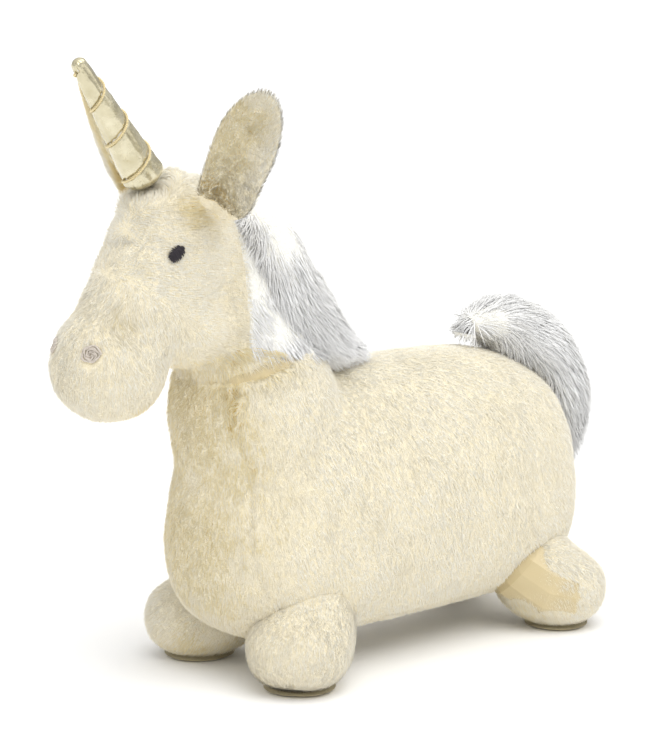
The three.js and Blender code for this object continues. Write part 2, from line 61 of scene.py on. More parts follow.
VIEW_AZIMUTH = math.radians(49)
VIEW_ELEVATION = math.radians(12)
VIEW_DISTANCE = 3.0
VIEW_AIM = Vector((0, -0.0099, 0.259))
LENS = 184.4


def make_camera():
    """A long lens at the height of the head, looking at the unicorn's left front."""
    data = bpy.data.cameras.new("camera")
    data.sensor_fit = "HORIZONTAL"
    data.lens = LENS
    camera = bpy.data.objects.new("camera", data)
    across = math.cos(VIEW_ELEVATION)
    away = Vector((
        math.sin(VIEW_AZIMUTH) * across,
        -math.cos(VIEW_AZIMUTH) * across,
        math.sin(VIEW_ELEVATION),
    ))
    camera.location = VIEW_AIM + VIEW_DISTANCE * away
    camera.rotation_euler = away.to_track_quat("Z", "Y").to_euler()
    bpy.context.scene.collection.objects.link(camera)
    bpy.context.scene.camera = camera


make_camera()

# ---------------------------------------------------------------- numbers as whole arrays


def unit(vectors):
    """Each vector at length 1."""
    return vectors / np.maximum(np.linalg.norm(vectors, axis=-1, keepdims=True), 1e-9)


def on_left(p):
    """Each place, or its mirror image where the place is on the right."""
    return np.abs(p) * (1, 0, 0) + p * (0, 1, 1)


def dot(a, b):
    """The dot product of each pair of vectors, kept as a column."""
    return (a * b).sum(-1, keepdims=True)


def field(points, size, seed, channels=1):
    """A smooth random value from -1 to 1: random numbers on a cubic lattice of the given size in
    millimetres, blended between its points."""
    table = np.random.default_rng(seed).uniform(-1, 1, (LATTICE,) * 3 + (channels,))
    cell = np.floor(points / size).astype(int)
    part = points / size - cell
    part = part * part * (3 - 2 * part)
    total = 0
    for corner in np.ndindex(2, 2, 2):
        i, j, k = ((cell + corner) % LATTICE).T
        share = np.prod(np.where(corner, part, 1 - part), axis=-1)[:, None]
        total = total + share * table[i, j, k]
    return total


def tuft(points, size, seed):
    """The nearest of a scatter of points, one at a random place in each cube of the given size, and
    a random number from 0 to 1 of its own."""
    table = np.random.default_rng(seed).uniform(0, 1, (LATTICE,) * 3 + (4,))
    cell = np.floor(points / size).astype(int)
    best = np.full(len(points), np.inf)
    centre = np.zeros_like(points)
    own = np.zeros(len(points))
    for step in np.ndindex(3, 3, 3):
        near = cell + np.array(step) - 1
        i, j, k = (near % LATTICE).T
        place = (near + table[i, j, k, :3]) * size
        distance = ((points - place) ** 2).sum(-1)
        closer = distance < best
        best = np.where(closer, distance, best)
        centre = np.where(closer[:, None], place, centre)
        own = np.where(closer, table[i, j, k, 3], own)
    return centre, own


def spline(points, t):
    """A centripetal Catmull-Rom curve through the points, at t from 0 to 1, with an equal share of t
    for each stretch between two points."""
    p = np.asarray(points, float)
    p = np.vstack([2 * p[0] - p[1], p, 2 * p[-1] - p[-2]])
    knot = np.sqrt(np.linalg.norm(np.diff(p, axis=0), axis=1))
    knot = np.where(knot < 1e-4, 1, knot)
    scaled = t * (len(points) - 1)
    stretch = np.clip(scaled.astype(int), 0, len(points) - 2)
    u = (scaled - stretch)[:, None]
    x0, x1, x2, x3 = (p[stretch + k] for k in range(4))
    d0, d1, d2 = (knot[stretch + k][:, None] for k in range(3))
    m1 = ((x1 - x0) / d0 - (x2 - x0) / (d0 + d1) + (x2 - x1) / d1) * d1
    m2 = ((x2 - x1) / d1 - (x3 - x1) / (d1 + d2) + (x3 - x2) / d2) * d1
    return x1 + m1 * u + (3 * (x2 - x1) - 2 * m1 - m2) * u**2 + (2 * (x1 - x2) + m1 + m2) * u**3


def limb(spine, sizes, end_square=2.0, ring_square=2.0, inset=0.0, rings=48, sides=64):
    """A rounded form along a spine that keeps one value of x, as rings of points. A point is the
    spine's point, plus across by cos(turn) and plus the spine's normal by sin(turn), each times half
    the section's size and times a rounding that closes the form at both ends."""
    along = -np.cos(np.linspace(0, math.pi, rings + 1))
    turn = np.linspace(0, 2 * math.pi, sides, endpoint=False)
    fine = spline(spine, np.linspace(0, 1, 200))
    length = np.linalg.norm(np.diff(fine, axis=0), axis=1).sum()
    cut = inset / length
    way = cut + (1 - 2 * cut) * (1 + along) / 2
    t = np.clip(way, 0, 1)
    step = 1e-4
    ahead, behind = np.clip(t + step, 0, 1), np.clip(t - step, 0, 1)
    tangent = unit(spline(spine, ahead) - spline(spine, behind))
    centre = spline(spine, t) + tangent * ((way - t) * length)[:, None]
    size = spline(sizes, t) - inset
    close = np.maximum(0, 1 - np.abs(along) ** end_square) ** (1 / end_square)
    powers = np.abs(np.cos(turn)) ** ring_square + np.abs(np.sin(turn)) ** ring_square
    bulge = powers ** (-1 / ring_square)
    across = np.array([1.0, 0.0, 0.0])
    normal = np.cross(across, tangent)
    wide = close[:, None] * size[:, :1] * np.cos(turn) * bulge
    deep = close[:, None] * size[:, 1:] * np.sin(turn) * bulge
    return centre[:, None] + wide[..., None] * across + deep[..., None] * normal[:, None]


def skin_of(rings):
    """The points and faces of a closed skin over rings of points whose first and last ring have
    shrunk to a point."""
    count, sides = rings.shape[:2]
    points = np.vstack([rings[0].mean(0), rings[1:-1].reshape(-1, 3), rings[-1].mean(0)])
    ring = np.arange(count - 2)[:, None] * sides + 1
    side = np.arange(sides)
    after = (side + 1) % sides
    low, high = ring[:-1], ring[1:]
    quads = np.stack(np.broadcast_arrays(low + side, low + after, high + after, high + side), -1)
    first = np.stack([np.zeros(sides, int), 1 + after, 1 + side], -1)
    last = np.stack([np.full(sides, len(points) - 1), ring[-1] + side, ring[-1] + after], -1)
    return points, [quads.reshape(-1, 4), first, last]


def joined(shells):
    """Several (points, faces) as one."""
    points, faces, start = [], [], 0
    for some, their_faces in shells:
        points.append(some)
        faces += [f + start for f in their_faces]
        start += len(some)
    return np.vstack(points), faces


def volume(points, faces):
    """Six times the volume inside the faces, below 0 where they point inwards."""
    total = 0.0
    for f in faces:
        for k in range(1, f.shape[1] - 1):
            a, b, c = points[f[:, 0]], points[f[:, k]], points[f[:, k + 1]]
            total += (a * np.cross(b, c)).sum()
    return total


def piece(name, shell, materials=(), shades=None, smooth=True):
    """An object of the given (points, faces) in stance millimetres, its faces turned outwards. shades
    is each face's material number."""
    points, faces = shell
    if volume(points - points.mean(0), faces) < 0:
        faces = [f[:, ::-1] for f in faces]
    mesh = bpy.data.meshes.new(name)
    mesh.vertices.add(len(points))
    mesh.vertices.foreach_set("co", ((points + (0, STANCE_Y, 0)) * MM).ravel())
    corners = np.concatenate([f.ravel() for f in faces])
    widths = np.concatenate([np.full(len(f), f.shape[1]) for f in faces])
    mesh.loops.add(len(corners))
    mesh.loops.foreach_set("vertex_index", corners)
    mesh.polygons.add(len(widths))
    mesh.polygons.foreach_set("loop_start", np.concatenate([[0], np.cumsum(widths)[:-1]]))
    if shades is not None:
        mesh.polygons.foreach_set("material_index", shades)
    mesh.update(calc_edges=True)
    mesh.polygons.foreach_set("use_smooth", np.full(len(widths), smooth))
    for material in materials:
        mesh.materials.append(material)
    made = bpy.data.objects.new(name, mesh)
    bpy.context.scene.collection.objects.link(made)
    return made


def worked(obj):
    """The object with its modifiers applied to its mesh."""
    graph = bpy.context.evaluated_depsgraph_get()
    mesh = bpy.data.meshes.new_from_object(obj.evaluated_get(graph))
    obj.modifiers.clear()
    old = obj.data
    obj.data = mesh
    bpy.data.meshes.remove(old)
    mesh.name = obj.name
    return obj


def vectors(items, key):
    """One vector for each point or face of a mesh."""
    flat = np.zeros(len(items) * 3)
    items.foreach_get(key, flat)
    return flat.reshape(-1, 3)


def places(obj):
    """The points of a mesh in stance millimetres."""
    return vectors(obj.data.vertices, "co") / MM - (0, STANCE_Y, 0)


def normals(obj):
    """The normal at each point of a mesh."""
    return vectors(obj.data.vertices, "normal")


def face_places(obj):
    """The middle of each face of a mesh, in stance millimetres."""
    return vectors(obj.data.polygons, "center") / MM - (0, STANCE_Y, 0)


def move_to(obj, points):
    """Gives a mesh these points, in stance millimetres."""
    obj.data.vertices.foreach_set("co", ((points + (0, STANCE_Y, 0)) * MM).ravel())
    obj.data.update()


# ---------------------------------------------------------------- finishes


def linear(hex_colour):
    """An sRGB hex colour as linear red, green, blue and 1."""
    parts = [int(hex_colour[i:i + 2], 16) / 255 for i in (1, 3, 5)]
    return tuple(c / 12.92 if c <= 0.04045 else ((c + 0.055) / 1.055) ** 2.4 for c in parts) + (1,)


def add(tree, kind, links=None, **settings):
    """Adds a node: its settings are its own properties, and links gives its sockets a value or
    another node's output."""
    made = tree.nodes.new(kind)
    for name, value in settings.items():
        setattr(made, name, value)
    for key, value in (links or {}).items():
        if isinstance(value, bpy.types.NodeSocket):
            tree.links.new(value, made.inputs[key])
        else:
            made.inputs[key].default_value = value
    return made


def finish(name, **sockets):
    """A material with one Principled shader, with these constant sockets: (material, tree, shader)."""
    material = bpy.data.materials.new(name)
    material.use_nodes = True
    tree = material.node_tree
    tree.nodes.clear()
    shader = add(tree, "ShaderNodeBsdfPrincipled", {k.replace("_", " "): v for k, v in sockets.items()})
    add(tree, "ShaderNodeOutputMaterial", {"Surface": shader.outputs[0]})
    return material, tree, shader


def mottled(tree, shader, low, high, size, coordinates, detail=3.0, stretch=(1, 1, 1)):
    """Mixes two colours by noise with lumps of the given size in metres. Returns the noise."""
    at = add(tree, "ShaderNodeMapping", {"Vector": coordinates, "Scale": stretch})
    noise = add(tree, "ShaderNodeTexNoise", {"Vector": at.outputs[0], "Scale": 1 / size, "Detail": detail})
    colours = {0: noise.outputs[0], 6: linear(low), 7: linear(high)}
    mix = add(tree, "ShaderNodeMix", colours, data_type="RGBA")
    tree.links.new(mix.outputs[2], shader.inputs["Base Color"])
    return noise


def raised(tree, shader, height, distance, strength=1.0, under=None):
    """A bump of the given depth in metres from a height between 0 and 1, over another bump if given."""
    links = {"Height": height, "Distance": distance, "Strength": strength}
    if under is not None:
        links["Normal"] = under.outputs[0]
    bump = add(tree, "ShaderNodeBump", links)
    tree.links.new(bump.outputs[0], shader.inputs["Normal"])
    return bump


def object_place(tree):
    """The place on the object, in metres."""
    return add(tree, "ShaderNodeTexCoord").outputs["Object"]


def pile_fibre(name, colour):
    """Polyester pile fibre, knitted in and sheared: matt, with a soft bright edge where light grazes
    it. A piece of pile holds several of these shades, and each fibre takes one."""
    return finish(
        name, Base_Color=linear(colour), Roughness=0.85, Sheen_Weight=0.35, Sheen_Roughness=0.4,
        Sheen_Tint=linear("#FFF6E0"), Specular_IOR_Level=0.25,
    )[0]


def pile_backing(name, low, high):
    """Knitted polyester backing with sheared underfur, coloured a little warmer and darker than the fibres
    as painted shade for the bottom of the pile, seen only where the pile parts."""
    material, tree, shader = finish(name, Roughness=0.95, Sheen_Weight=0.3)
    place = object_place(tree)
    noise = mottled(tree, shader, low, high, 6 * MM, place)
    loops = add(tree, "ShaderNodeTexVoronoi", {"Vector": place, "Scale": 1 / (1.6 * MM)})
    lumps = raised(tree, shader, noise.outputs[0], 1.5 * MM)
    raised(tree, shader, loops.outputs[0], 0.6 * MM, under=lumps)
    return material


def foil_cloth():
    """Foil-laminated knit, hot-pressed: soft champagne metal with fine creases that break its
    reflections, and the knit just showing through as a tiny grain."""
    material, tree, shader = finish("champagne_foil_cloth", Metallic=0.88, Roughness=0.3)
    place = object_place(tree)
    # The colour follows the creases: darker in their hollows, as painted shade, and lighter on their
    # ridges.
    creases = mottled(tree, shader, "#ADA37E", "#EFE8CE", 12 * MM, place)
    knit = add(tree, "ShaderNodeTexVoronoi", {"Vector": place, "Scale": 1 / (0.7 * MM)})
    rough = add(tree, "ShaderNodeMapRange", {"Value": creases.outputs[0], "To Min": 0.16, "To Max": 0.36})
    tree.links.new(rough.outputs[0], shader.inputs["Roughness"])
    soft = raised(tree, shader, creases.outputs[0], 1.6 * MM)
    raised(tree, shader, knit.outputs[0], 0.1 * MM, under=soft)
    return material


def metal_cord():
    """Two plies of metallised thread, twisted: gold glints on a matt core, drawn as coarse fibres."""
    material, tree, shader = finish("gold_metallised_cord", Metallic=0.5, Roughness=0.4)
    fibres = mottled(tree, shader, "#D8C286", "#FBF0CC", 0.6 * MM, object_place(tree))
    raised(tree, shader, fibres.outputs[0], 0.2 * MM)
    return material


def thread(name, low, high, roughness=0.55):
    """Rayon embroidery thread, satin stitched: a low silky shine and colour that varies along each
    stitch."""
    material, tree, shader = finish(name, Roughness=roughness, Sheen_Weight=0.2)
    fibres = mottled(tree, shader, low, high, 1.2 * MM, object_place(tree))
    raised(tree, shader, fibres.outputs[0], 0.2 * MM)
    return material


def wadding():
    """Carded polyester wadding, teased apart: white, matt and cloudy."""
    material, tree, shader = finish("polyester_wadding", Roughness=1.0, Sheen_Weight=0.5)
    clouds = mottled(tree, shader, "#E4E2DA", "#F8F7F3", 8 * MM, object_place(tree), detail=6.0)
    raised(tree, shader, clouds.outputs[0], 4 * MM)
    return material


def vinyl(name, low, high, roughness):
    """Soft PVC, rotation-moulded: an even low gloss with faint clouding and a slight orange peel."""
    material, tree, shader = finish(name, Roughness=roughness)
    mottled(tree, shader, low, high, 30 * MM, object_place(tree))
    peel = add(tree, "ShaderNodeTexNoise", {"Vector": object_place(tree), "Scale": 1 / (2 * MM)})
    raised(tree, shader, peel.outputs[0], 0.1 * MM)
    return material


def woven(name, low, high, spacing):
    """Polyester tape or cloth, plain woven: threads at the given spacing in metres, drawn coarser
    than real ones so that they show, with a matt face."""
    material, tree, shader = finish(name, Roughness=0.85, Sheen_Weight=0.15)
    place = object_place(tree)
    mottled(tree, shader, low, high, 4 * MM, place)
    cycle = 2 * math.pi
    ways = {}
    for direction in ("X", "Y"):
        ways[direction] = add(
            tree, "ShaderNodeTexWave", {"Vector": place, "Scale": 1 / spacing / cycle},
            wave_type="BANDS", bands_direction=direction,
        )
    crossed = add(
        tree, "ShaderNodeMath", {0: ways["X"].outputs[1], 1: ways["Y"].outputs[1]}, operation="MULTIPLY",
    )
    raised(tree, shader, crossed.outputs[0], 0.3 * MM)
    return material


def zip_metal():
    """Die-cast zinc, barrel-tumbled and nickel plated: a soft grey shine, duller and darker in random
    patches.
    """
    material, tree, shader = finish("nickel_plated_zinc", Metallic=1.0, Roughness=0.3)
    wear = mottled(tree, shader, "#8F8C84", "#C9C6BD", 2 * MM, object_place(tree), detail=4.0)
    rough = add(tree, "ShaderNodeMapRange", {"Value": wear.outputs[0], "To Min": 0.22, "To Max": 0.45})
    tree.links.new(rough.outputs[0], shader.inputs["Roughness"])
    return material


def studio_floor():
    """Pale painted board: matt, with hardly any mottling."""
    material, tree, shader = finish("painted_board", Roughness=0.9)
    mottled(tree, shader, "#FCFCFC", "#FFFFFF", 300 * MM, object_place(tree))
    return material


# Fibre shades, lightest first. Fibres take the two darker ones by their own tone and wherever painted warm
# shade is laid on the pile.
CREAM = [
    pile_fibre("cream_pile_light", "#FFFAEA"),
    pile_fibre("cream_pile", "#FDF4DC"),
    pile_fibre("cream_pile_warm", "#F4E4B6"),
    pile_fibre("cream_pile_tan", "#DCC07C"),
]
WHITE = [
    pile_fibre("white_pile_light", "#FFFFFE"),
    pile_fibre("white_pile", "#FFFEFB"),
    pile_fibre("white_pile_warm", "#FFFDF6"),
    pile_fibre("white_pile_shade", "#FBF8EE"),
]
CREAM_BACKING = pile_backing("cream_pile_backing", "#EADCB4", "#F6EED8")
WHITE_BACKING = pile_backing("white_pile_backing", "#F6F3E8", "#FDFCF6")
FOIL = foil_cloth()
CORD = metal_cord()
EYE_THREAD = thread("plum_black_rayon_thread", "#0C060D", "#231525", 0.5)
NOSTRIL_THREAD = thread("taupe_rayon_thread", "#B9AEA2", "#DDD4C8")
WADDING = wadding()
BLADDER_VINYL = vinyl("tan_pvc_bladder", "#CDBB8E", "#DDCDA6", 0.4)
VALVE_VINYL = vinyl("clear_white_pvc_valve", "#DEDCD4", "#EFEDE6", 0.3)
SOLE_CLOTH = woven("tan_woven_sole_cloth", "#C2B48C", "#D9CCA6", 1.1 * MM)
ZIP_CLOTH = woven("cream_zip_tape", "#D8CCAC", "#E9E0C6", 0.8 * MM)
ZIP_METAL = zip_metal()

# ---------------------------------------------------------------- the animal's form

SKULL = np.array([0.0, -75, 402])
MUZZLE = np.array([0.0, -149, 302])
HEAD_AXIS = unit(MUZZLE - SKULL)
BELLY = 22.0
SOLE = 3.0
SPLAY = math.radians(42)
FRONT_LEG = ((66, 10), SPLAY, 60, 63, 55)  # place, turn, reach to the hip and to the toe, half width
REAR_LEG = ((72, 316), math.pi - SPLAY, 44, 58, 51)


def barrel(inset):
    """The body: a blunt-ended roll whose lower half is squarer than its upper half, with a flat belly."""
    line = [(0, -67, 147), (0, 158, 147), (0, 381, 147)]
    upper = limb(line, [(106, 131)] * 3, end_square=2.8, inset=inset)
    lower = limb(line, [(106, 131)] * 3, end_square=4.2, ring_square=2.3, inset=inset)
    share = np.clip((168 - upper[..., 2:]) / 90, 0, 1)
    share = share * share * (3 - 2 * share)
    rings = upper + (lower - upper) * share
    rings[..., 2] = np.maximum(rings[..., 2], BELLY + inset)
    return rings


def neck(inset):
    return limb(
        [(0, 36, 110), (0, 12, 240), (0, -10, 330), (0, -44, 424)],
        [(92, 98), (84, 88), (60, 60), (54, 50)],
        end_square=3, inset=inset,
    )


def head(inset):
    return limb(
        [(0, -31, 457), SKULL, (0, -112, 354), MUZZLE, (0, -180, 258)],
        [(62, 64), (62, 70), (58, 56), (56, 50), (54, 48)],
        end_square=2.3, inset=inset,
    )


def jowl(inset):
    """The cheeks, which fill the corner between the head and the neck."""
    return limb(
        [(0, -122, 338), (0, -76, 328), (0, -26, 326)], [(58, 46)] * 3, end_square=2.2, inset=inset,
    )


def muzzle(inset):
    reach = 57
    ends = [(0, MUZZLE[1] + reach, MUZZLE[2]), (0, MUZZLE[1] - reach, MUZZLE[2])]
    return limb(ends, [(reach + 3, reach)] * 2, end_square=2.1, inset=inset)


def leg(place, side, inset, floor):
    """A stubby leg from its hip inside the barrel to its rounded toe, flat where it meets the floor."""
    (x, y), turn, hip, toe, half_width = place
    rings = limb(
        [(0, hip, 40 + 0.83 * hip), (0, 0, 42), (0, -toe, 34)],
        [(half_width, 58), (half_width, 49), (half_width, 39)],
        end_square=2.5, ring_square=2.3, inset=inset,
    )
    c, s = math.cos(turn * side), math.sin(turn * side)
    across = rings[..., 0] * c - rings[..., 1] * s + x * side
    forward = rings[..., 0] * s + rings[..., 1] * c + y
    return np.stack([across, forward, np.maximum(rings[..., 2], floor)], -1)


LEGS = {}
for side_name, side in SIDES:
    LEGS[f"front_{side_name}"] = (FRONT_LEG, side)
    LEGS[f"rear_{side_name}"] = (REAR_LEG, side)


# ---------------------------------------------------------------- seams of the cover


def beyond_muzzle_seam(p):
    """Above 0 outside the muzzle's panel, with 0 along its seam."""
    return np.maximum(-(p - (0, -116, 346)) @ HEAD_AXIS, p[:, 1] + 86)


def above_neck_seam(p):
    return (p[:, 2] - 294 - 0.3 * p[:, 1]) / math.hypot(1, 0.3)


def beyond_gusset_seam(p):
    """Above 0 outside the strip down the forehead."""
    forward = np.array([0, HEAD_AXIS[2], -HEAD_AXIS[1]])
    return np.maximum(np.abs(p[:, 0]) - 22, -(p - SKULL) @ forward)


def beyond_belly_seam(p):
    return np.max([np.abs(p[:, 0]) - 58, 22 - p[:, 1], p[:, 1] - 318, p[:, 2] - 62], axis=0)


def beyond_chest_seam(p):
    half_width = 78 - 38 * p[:, 2] / 300
    return np.maximum(np.abs(p[:, 0]) - half_width, p[:, 1] - 22)


PANELS = (
    "muzzle", "forehead", "head_left", "head_right", "belly", "chest", "side_left", "side_right",
)


def panel_of(p):
    """Each point's panel, as its number in PANELS, and how far the point is from the nearest seam."""
    m, up = beyond_muzzle_seam(p), above_neck_seam(p)
    gusset, belly, chest = beyond_gusset_seam(p), beyond_belly_seam(p), beyond_chest_seam(p)
    left = p[:, 0] > 0
    number = np.select(
        [m < 0, (up > 0) & (gusset < 0), (up > 0) & left, up > 0, belly < 0, chest < 0, left],
        [0, 1, 2, 3, 4, 5, 6], 7,
    )
    far = np.full(len(p), 1e3)
    middle = np.where((number == 2) | (number == 3) | (number > 5), np.abs(p[:, 0]), far)
    beside_chest = np.where(belly > 0, np.abs(chest), far)
    crossing = np.where(up > 0, np.abs(gusset), np.minimum(np.abs(belly), beside_chest))
    behind_muzzle = np.min([np.abs(up), crossing, middle], axis=0)
    return number, np.minimum(np.abs(m), np.where(m > 0, behind_muzzle, far))


def groove(distance, width, depth):
    """A soft channel: a bell curve of the distance from its middle."""
    return depth * np.exp(-((distance / width) ** 2))


# ---------------------------------------------------------------- padded skins


PRESSURE = 4.0  # of the air that blows a skin up
FRAMES = 20  # of the cloth's motion, by which it is at rest


def fused(name, shells, voxel, smoothing):
    """One closed skin round overlapping shells, on a cubic grid of voxel millimetres, then smoothed."""
    skin = piece(name, joined([skin_of(rings) for rings in shells]))
    remesh = skin.modifiers.new("remesh", "REMESH")
    remesh.mode = "VOXEL"
    remesh.voxel_size = voxel * MM
    remesh.use_smooth_shade = True
    smooth = skin.modifiers.new("smooth", "SMOOTH")
    smooth.factor = 0.5
    smooth.iterations = smoothing
    return worked(skin)


def inflate(skin, held, cap):
    """Blows the skin up as cloth, held where held is 1, without weight. No point ends further than
    cap millimetres from where it started."""
    before = places(skin)
    group = skin.vertex_groups.new(name="seams")
    levels = 10
    stepped = np.round(held * levels).astype(int)
    for level in range(1, levels + 1):
        group.add(np.flatnonzero(stepped == level).tolist(), level / levels, "REPLACE")
    cloth = skin.modifiers.new("cloth", "CLOTH")
    cloth.settings.use_pressure = True
    cloth.settings.uniform_pressure_force = PRESSURE
    cloth.settings.effector_weights.gravity = 0
    cloth.settings.vertex_group_mass = "seams"
    cloth.settings.pin_stiffness = 0.5
    cloth.point_cache.frame_start, cloth.point_cache.frame_end = 1, FRAMES
    for number in range(1, FRAMES + 1):
        bpy.context.scene.frame_set(number)
    worked(skin)
    skin.vertex_groups.clear()
    moved = places(skin) - before
    reach = np.linalg.norm(moved, axis=1, keepdims=True)
    move_to(skin, before + moved * np.minimum(1, cap / np.maximum(reach, 1e-6)))
    bpy.context.scene.frame_set(1)
    return skin


def finer(skin):
    """The skin after one round of subdivision."""
    more = skin.modifiers.new("finer", "SUBSURF")
    more.levels = more.render_levels = 1
    return worked(skin)


# ---------------------------------------------------------------- pile


MOST_FACES = 196000  # in one piece of pile
COVER_PILE, LEG_PILE, EAR_PILE, LONG_PILE = 0.58, 0.62, 0.9, 0.75  # fibres to the square millimetre


def scattered(skin, faces, density, rng, faces_each=4):
    """Random places spread evenly over some faces of a mesh, so many to the square millimetre:
    (places, normals), in millimetres."""
    mesh = skin.data
    mesh.calc_loop_triangles()
    corners = np.zeros(len(mesh.loop_triangles) * 3, int)
    mesh.loop_triangles.foreach_get("vertices", corners)
    owner = np.zeros(len(mesh.loop_triangles), int)
    mesh.loop_triangles.foreach_get("polygon_index", owner)
    corners = corners.reshape(-1, 3)[faces[owner]]
    p, n = places(skin), normals(skin)
    a, b, c = (p[corners[:, k]] for k in range(3))
    area = np.linalg.norm(np.cross(b - a, c - a), axis=1) / 2
    edge = np.cumsum(area)
    count = int(min(MOST_FACES / faces_each, density * edge[-1]))
    chosen = np.searchsorted(edge, rng.uniform(0, edge[-1], count))
    u, v = rng.uniform(0, 1, (2, count))
    over = u + v > 1
    u, v = np.where(over, 1 - u, u), np.where(over, 1 - v, v)
    share = np.stack([1 - u - v, u, v], -1)[..., None]
    three = corners[chosen]
    return (p[three] * share).sum(1), unit((n[three] * share).sum(1))


HORN_BASE = np.array([0, -104, 454])
HORN_REACH = np.array([0.0, -74, 111])
HORN_AXIS = unit(HORN_REACH)
HORN_HUGGED = HORN_BASE + 6 * HORN_AXIS  # the middle of the horn where pile leans on it
GROUND = 0.4  # fibres lie down where they meet the ground


def fibres(name, root, normal, way, length, width, bend, shade, materials, rings, lift=0.0):
    """A piece of many tapered three-sided fibres. A fibre's middle line leaves its root along way
    and curves by bend times the square of the share of its length; rings are the shares at which
    it has a section, and it ends in a point. A section is a low triangle, flat side to the skin,
    and the fibre takes the light mostly with its flat side, as a dense coat does, turned up by lift
    for the light that gets through long fibres from above."""
    count, steps = len(root), len(rings)
    share = np.array(list(rings) + [1.0])
    line = root[:, None] + way[:, None] * (length[:, None] * share)[..., None]
    line = line + bend[:, None] * (share**2)[None, :, None]
    beside = unit(np.cross(way, normal))
    above = np.cross(beside, way)
    corners = np.array([[1, -0.2], [0, 0.5], [-1, -0.2]])
    ring = beside[:, None] * corners[:, :1] + above[:, None] * corners[:, 1:]
    radius = width[:, None] / 2 * (1 - share[:-1] ** 2)
    body = line[:, :-1, None] + ring[:, None] * radius[..., None, None]
    points = np.concatenate([body.reshape(count, -1, 3), line[:, -1:]], axis=1)
    points[..., 2] = np.maximum(points[..., 2], GROUND)
    facing = above + 0.3 * normal + (0, 0, lift)
    around = np.concatenate([np.tile(ring, (1, steps, 1)), way[:, None]], axis=1)
    lit = unit(facing[:, None] + 0.2 * around)
    k = np.arange(3)
    after = (k + 1) % 3
    last = 3 * (steps - 1)
    faces = [[[0, 2, 1]], np.stack([last + k, last + after, np.full(3, 3 * steps)], -1)]
    for low in 3 * np.arange(steps - 1):
        faces.append(np.stack([low + k, low + after, low + 3 + after], -1))
        faces.append(np.stack([low + k, low + 3 + after, low + 3 + k], -1))
    one = np.concatenate(faces)
    every = (one + (np.arange(count) * (3 * steps + 1))[:, None, None]).reshape(-1, 3)
    made = piece(name, (points.reshape(-1, 3), [every]), materials, np.repeat(shade, len(one)))
    made.data.normals_split_custom_set_from_vertices(lit.reshape(-1, 3))
    return made


def shade_of(place, own, warm, rng):
    """The shade of each fibre, from 0, the lightest, to 3: patches and tufts of their own tone, and
    warmer where warm is above 0; warm carries the ruffled pile's colour and the painted warm shade."""
    tone = 0.3 * field(place, 38, 5)[:, 0] + 0.25 * field(place, 7, 6)[:, 0] + 0.25 * (own - 0.5)
    tone = tone + 2.4 * warm + rng.normal(0, 0.22, len(place))
    return np.clip(np.floor(0.8 + 1.2 * tone), 0, 3).astype(int)


WARM_SHADE = (  # patches of painted warm shade, on the chest, under the head and muzzle, on the belly, feet and shoulders and round the ears' roots: place on the left, radius and how much
    ((20, -70, 160), (56, 50, 140), 0.62),
    ((20, -100, 262), (60, 40, 34), 0.45),
    ((50, -10, 20), (60, 60, 24), 0.3),
    ((20, -150, 258), (50, 60, 24), 0.2),
    ((64, 300, 16), (60, 60, 26), 0.3),
    ((62, -70, 428), (24, 26, 18), 0.6),
    ((0, 160, 10), (90, 160, 30), 0.4),
    ((74, -52, 200), (16, 40, 90), 0.3),
    ((48, -96, 441), (22, 20, 18), 0.5),
)


def painted_warm_shade(p):
    """How much painted warm shade the pile takes at each place, from 0 to 1."""
    mirrored = on_left(p)
    total = np.zeros(len(p))
    for middle, reach, most in WARM_SHADE:
        away = np.linalg.norm((mirrored - middle) / np.array(reach), axis=1)
        total += most * np.exp(-(away**2))
    return total


def short_pile(name, skin, faces, density, nap, seed, length=5.5, lay=22.0, warm=None, clear=None):
    """Short pile over some faces of a skin. A fibre lies along the nap, raised by lay degrees. Tufts
    of fibres lean together, and where the pile is ruffled they turn off the nap and stand up."""
    rng = np.random.default_rng(seed)
    root, normal = scattered(skin, faces, density, rng)
    if clear is not None:
        kept = ~clear(root)
        root, normal = root[kept], normal[kept]
    ruffled, hugging = ruffle(root), collar(root)
    astray = field(root, 9, 22, 3) * (0.04 + 1.4 * ruffled[:, None])
    flow = nap(root, normal) + field(root, 30, 21, 3) * 0.25 + astray
    flow = flow * (1 - hugging[:, None]) + unit(HORN_HUGGED - root) * hugging[:, None]
    flow = unit(flow - normal * dot(flow, normal))
    uneven = 8 * field(root, 14, 23)[:, 0] + rng.normal(0, 4, len(root))
    rise = np.radians(lay + 22 * ruffled + uneven + 36 * hugging)[:, None]
    centre, own = tuft(root, 6.0, 24)
    way = flow * np.cos(rise) + normal * np.sin(rise)
    long = length * (0.8 + 0.4 * rng.random(len(root))) * (1 + 0.7 * ruffled + 0.9 * hugging)
    lean = (centre - root) - normal * dot(centre - root, normal)
    way = unit(way * long[:, None] + lean * (0.08 + 0.4 * ruffled[:, None]))
    width = 0.45 + 0.25 * rng.random(len(root))
    # Where warm is given it paints shade into an ear's hollow; the patches of painted warm shade go onto
    # every piece of short pile.
    hollow_shade = warm(root) if warm else 0
    shade = shade_of(root, own, 0.8 * ruffled + painted_warm_shade(root) + hollow_shade, rng)
    straight = np.zeros_like(root)
    return fibres(name, root - normal * 0.4, normal, way, long, width, straight, shade, CREAM, [0.0])


RUFFLES = (  # middle of a brushed-up patch on the left, and its radius; the right side has the same
    ((30, -146, 342), 19),
    ((60, -84, 432), 20),
    ((66, -6, 306), 30),
)


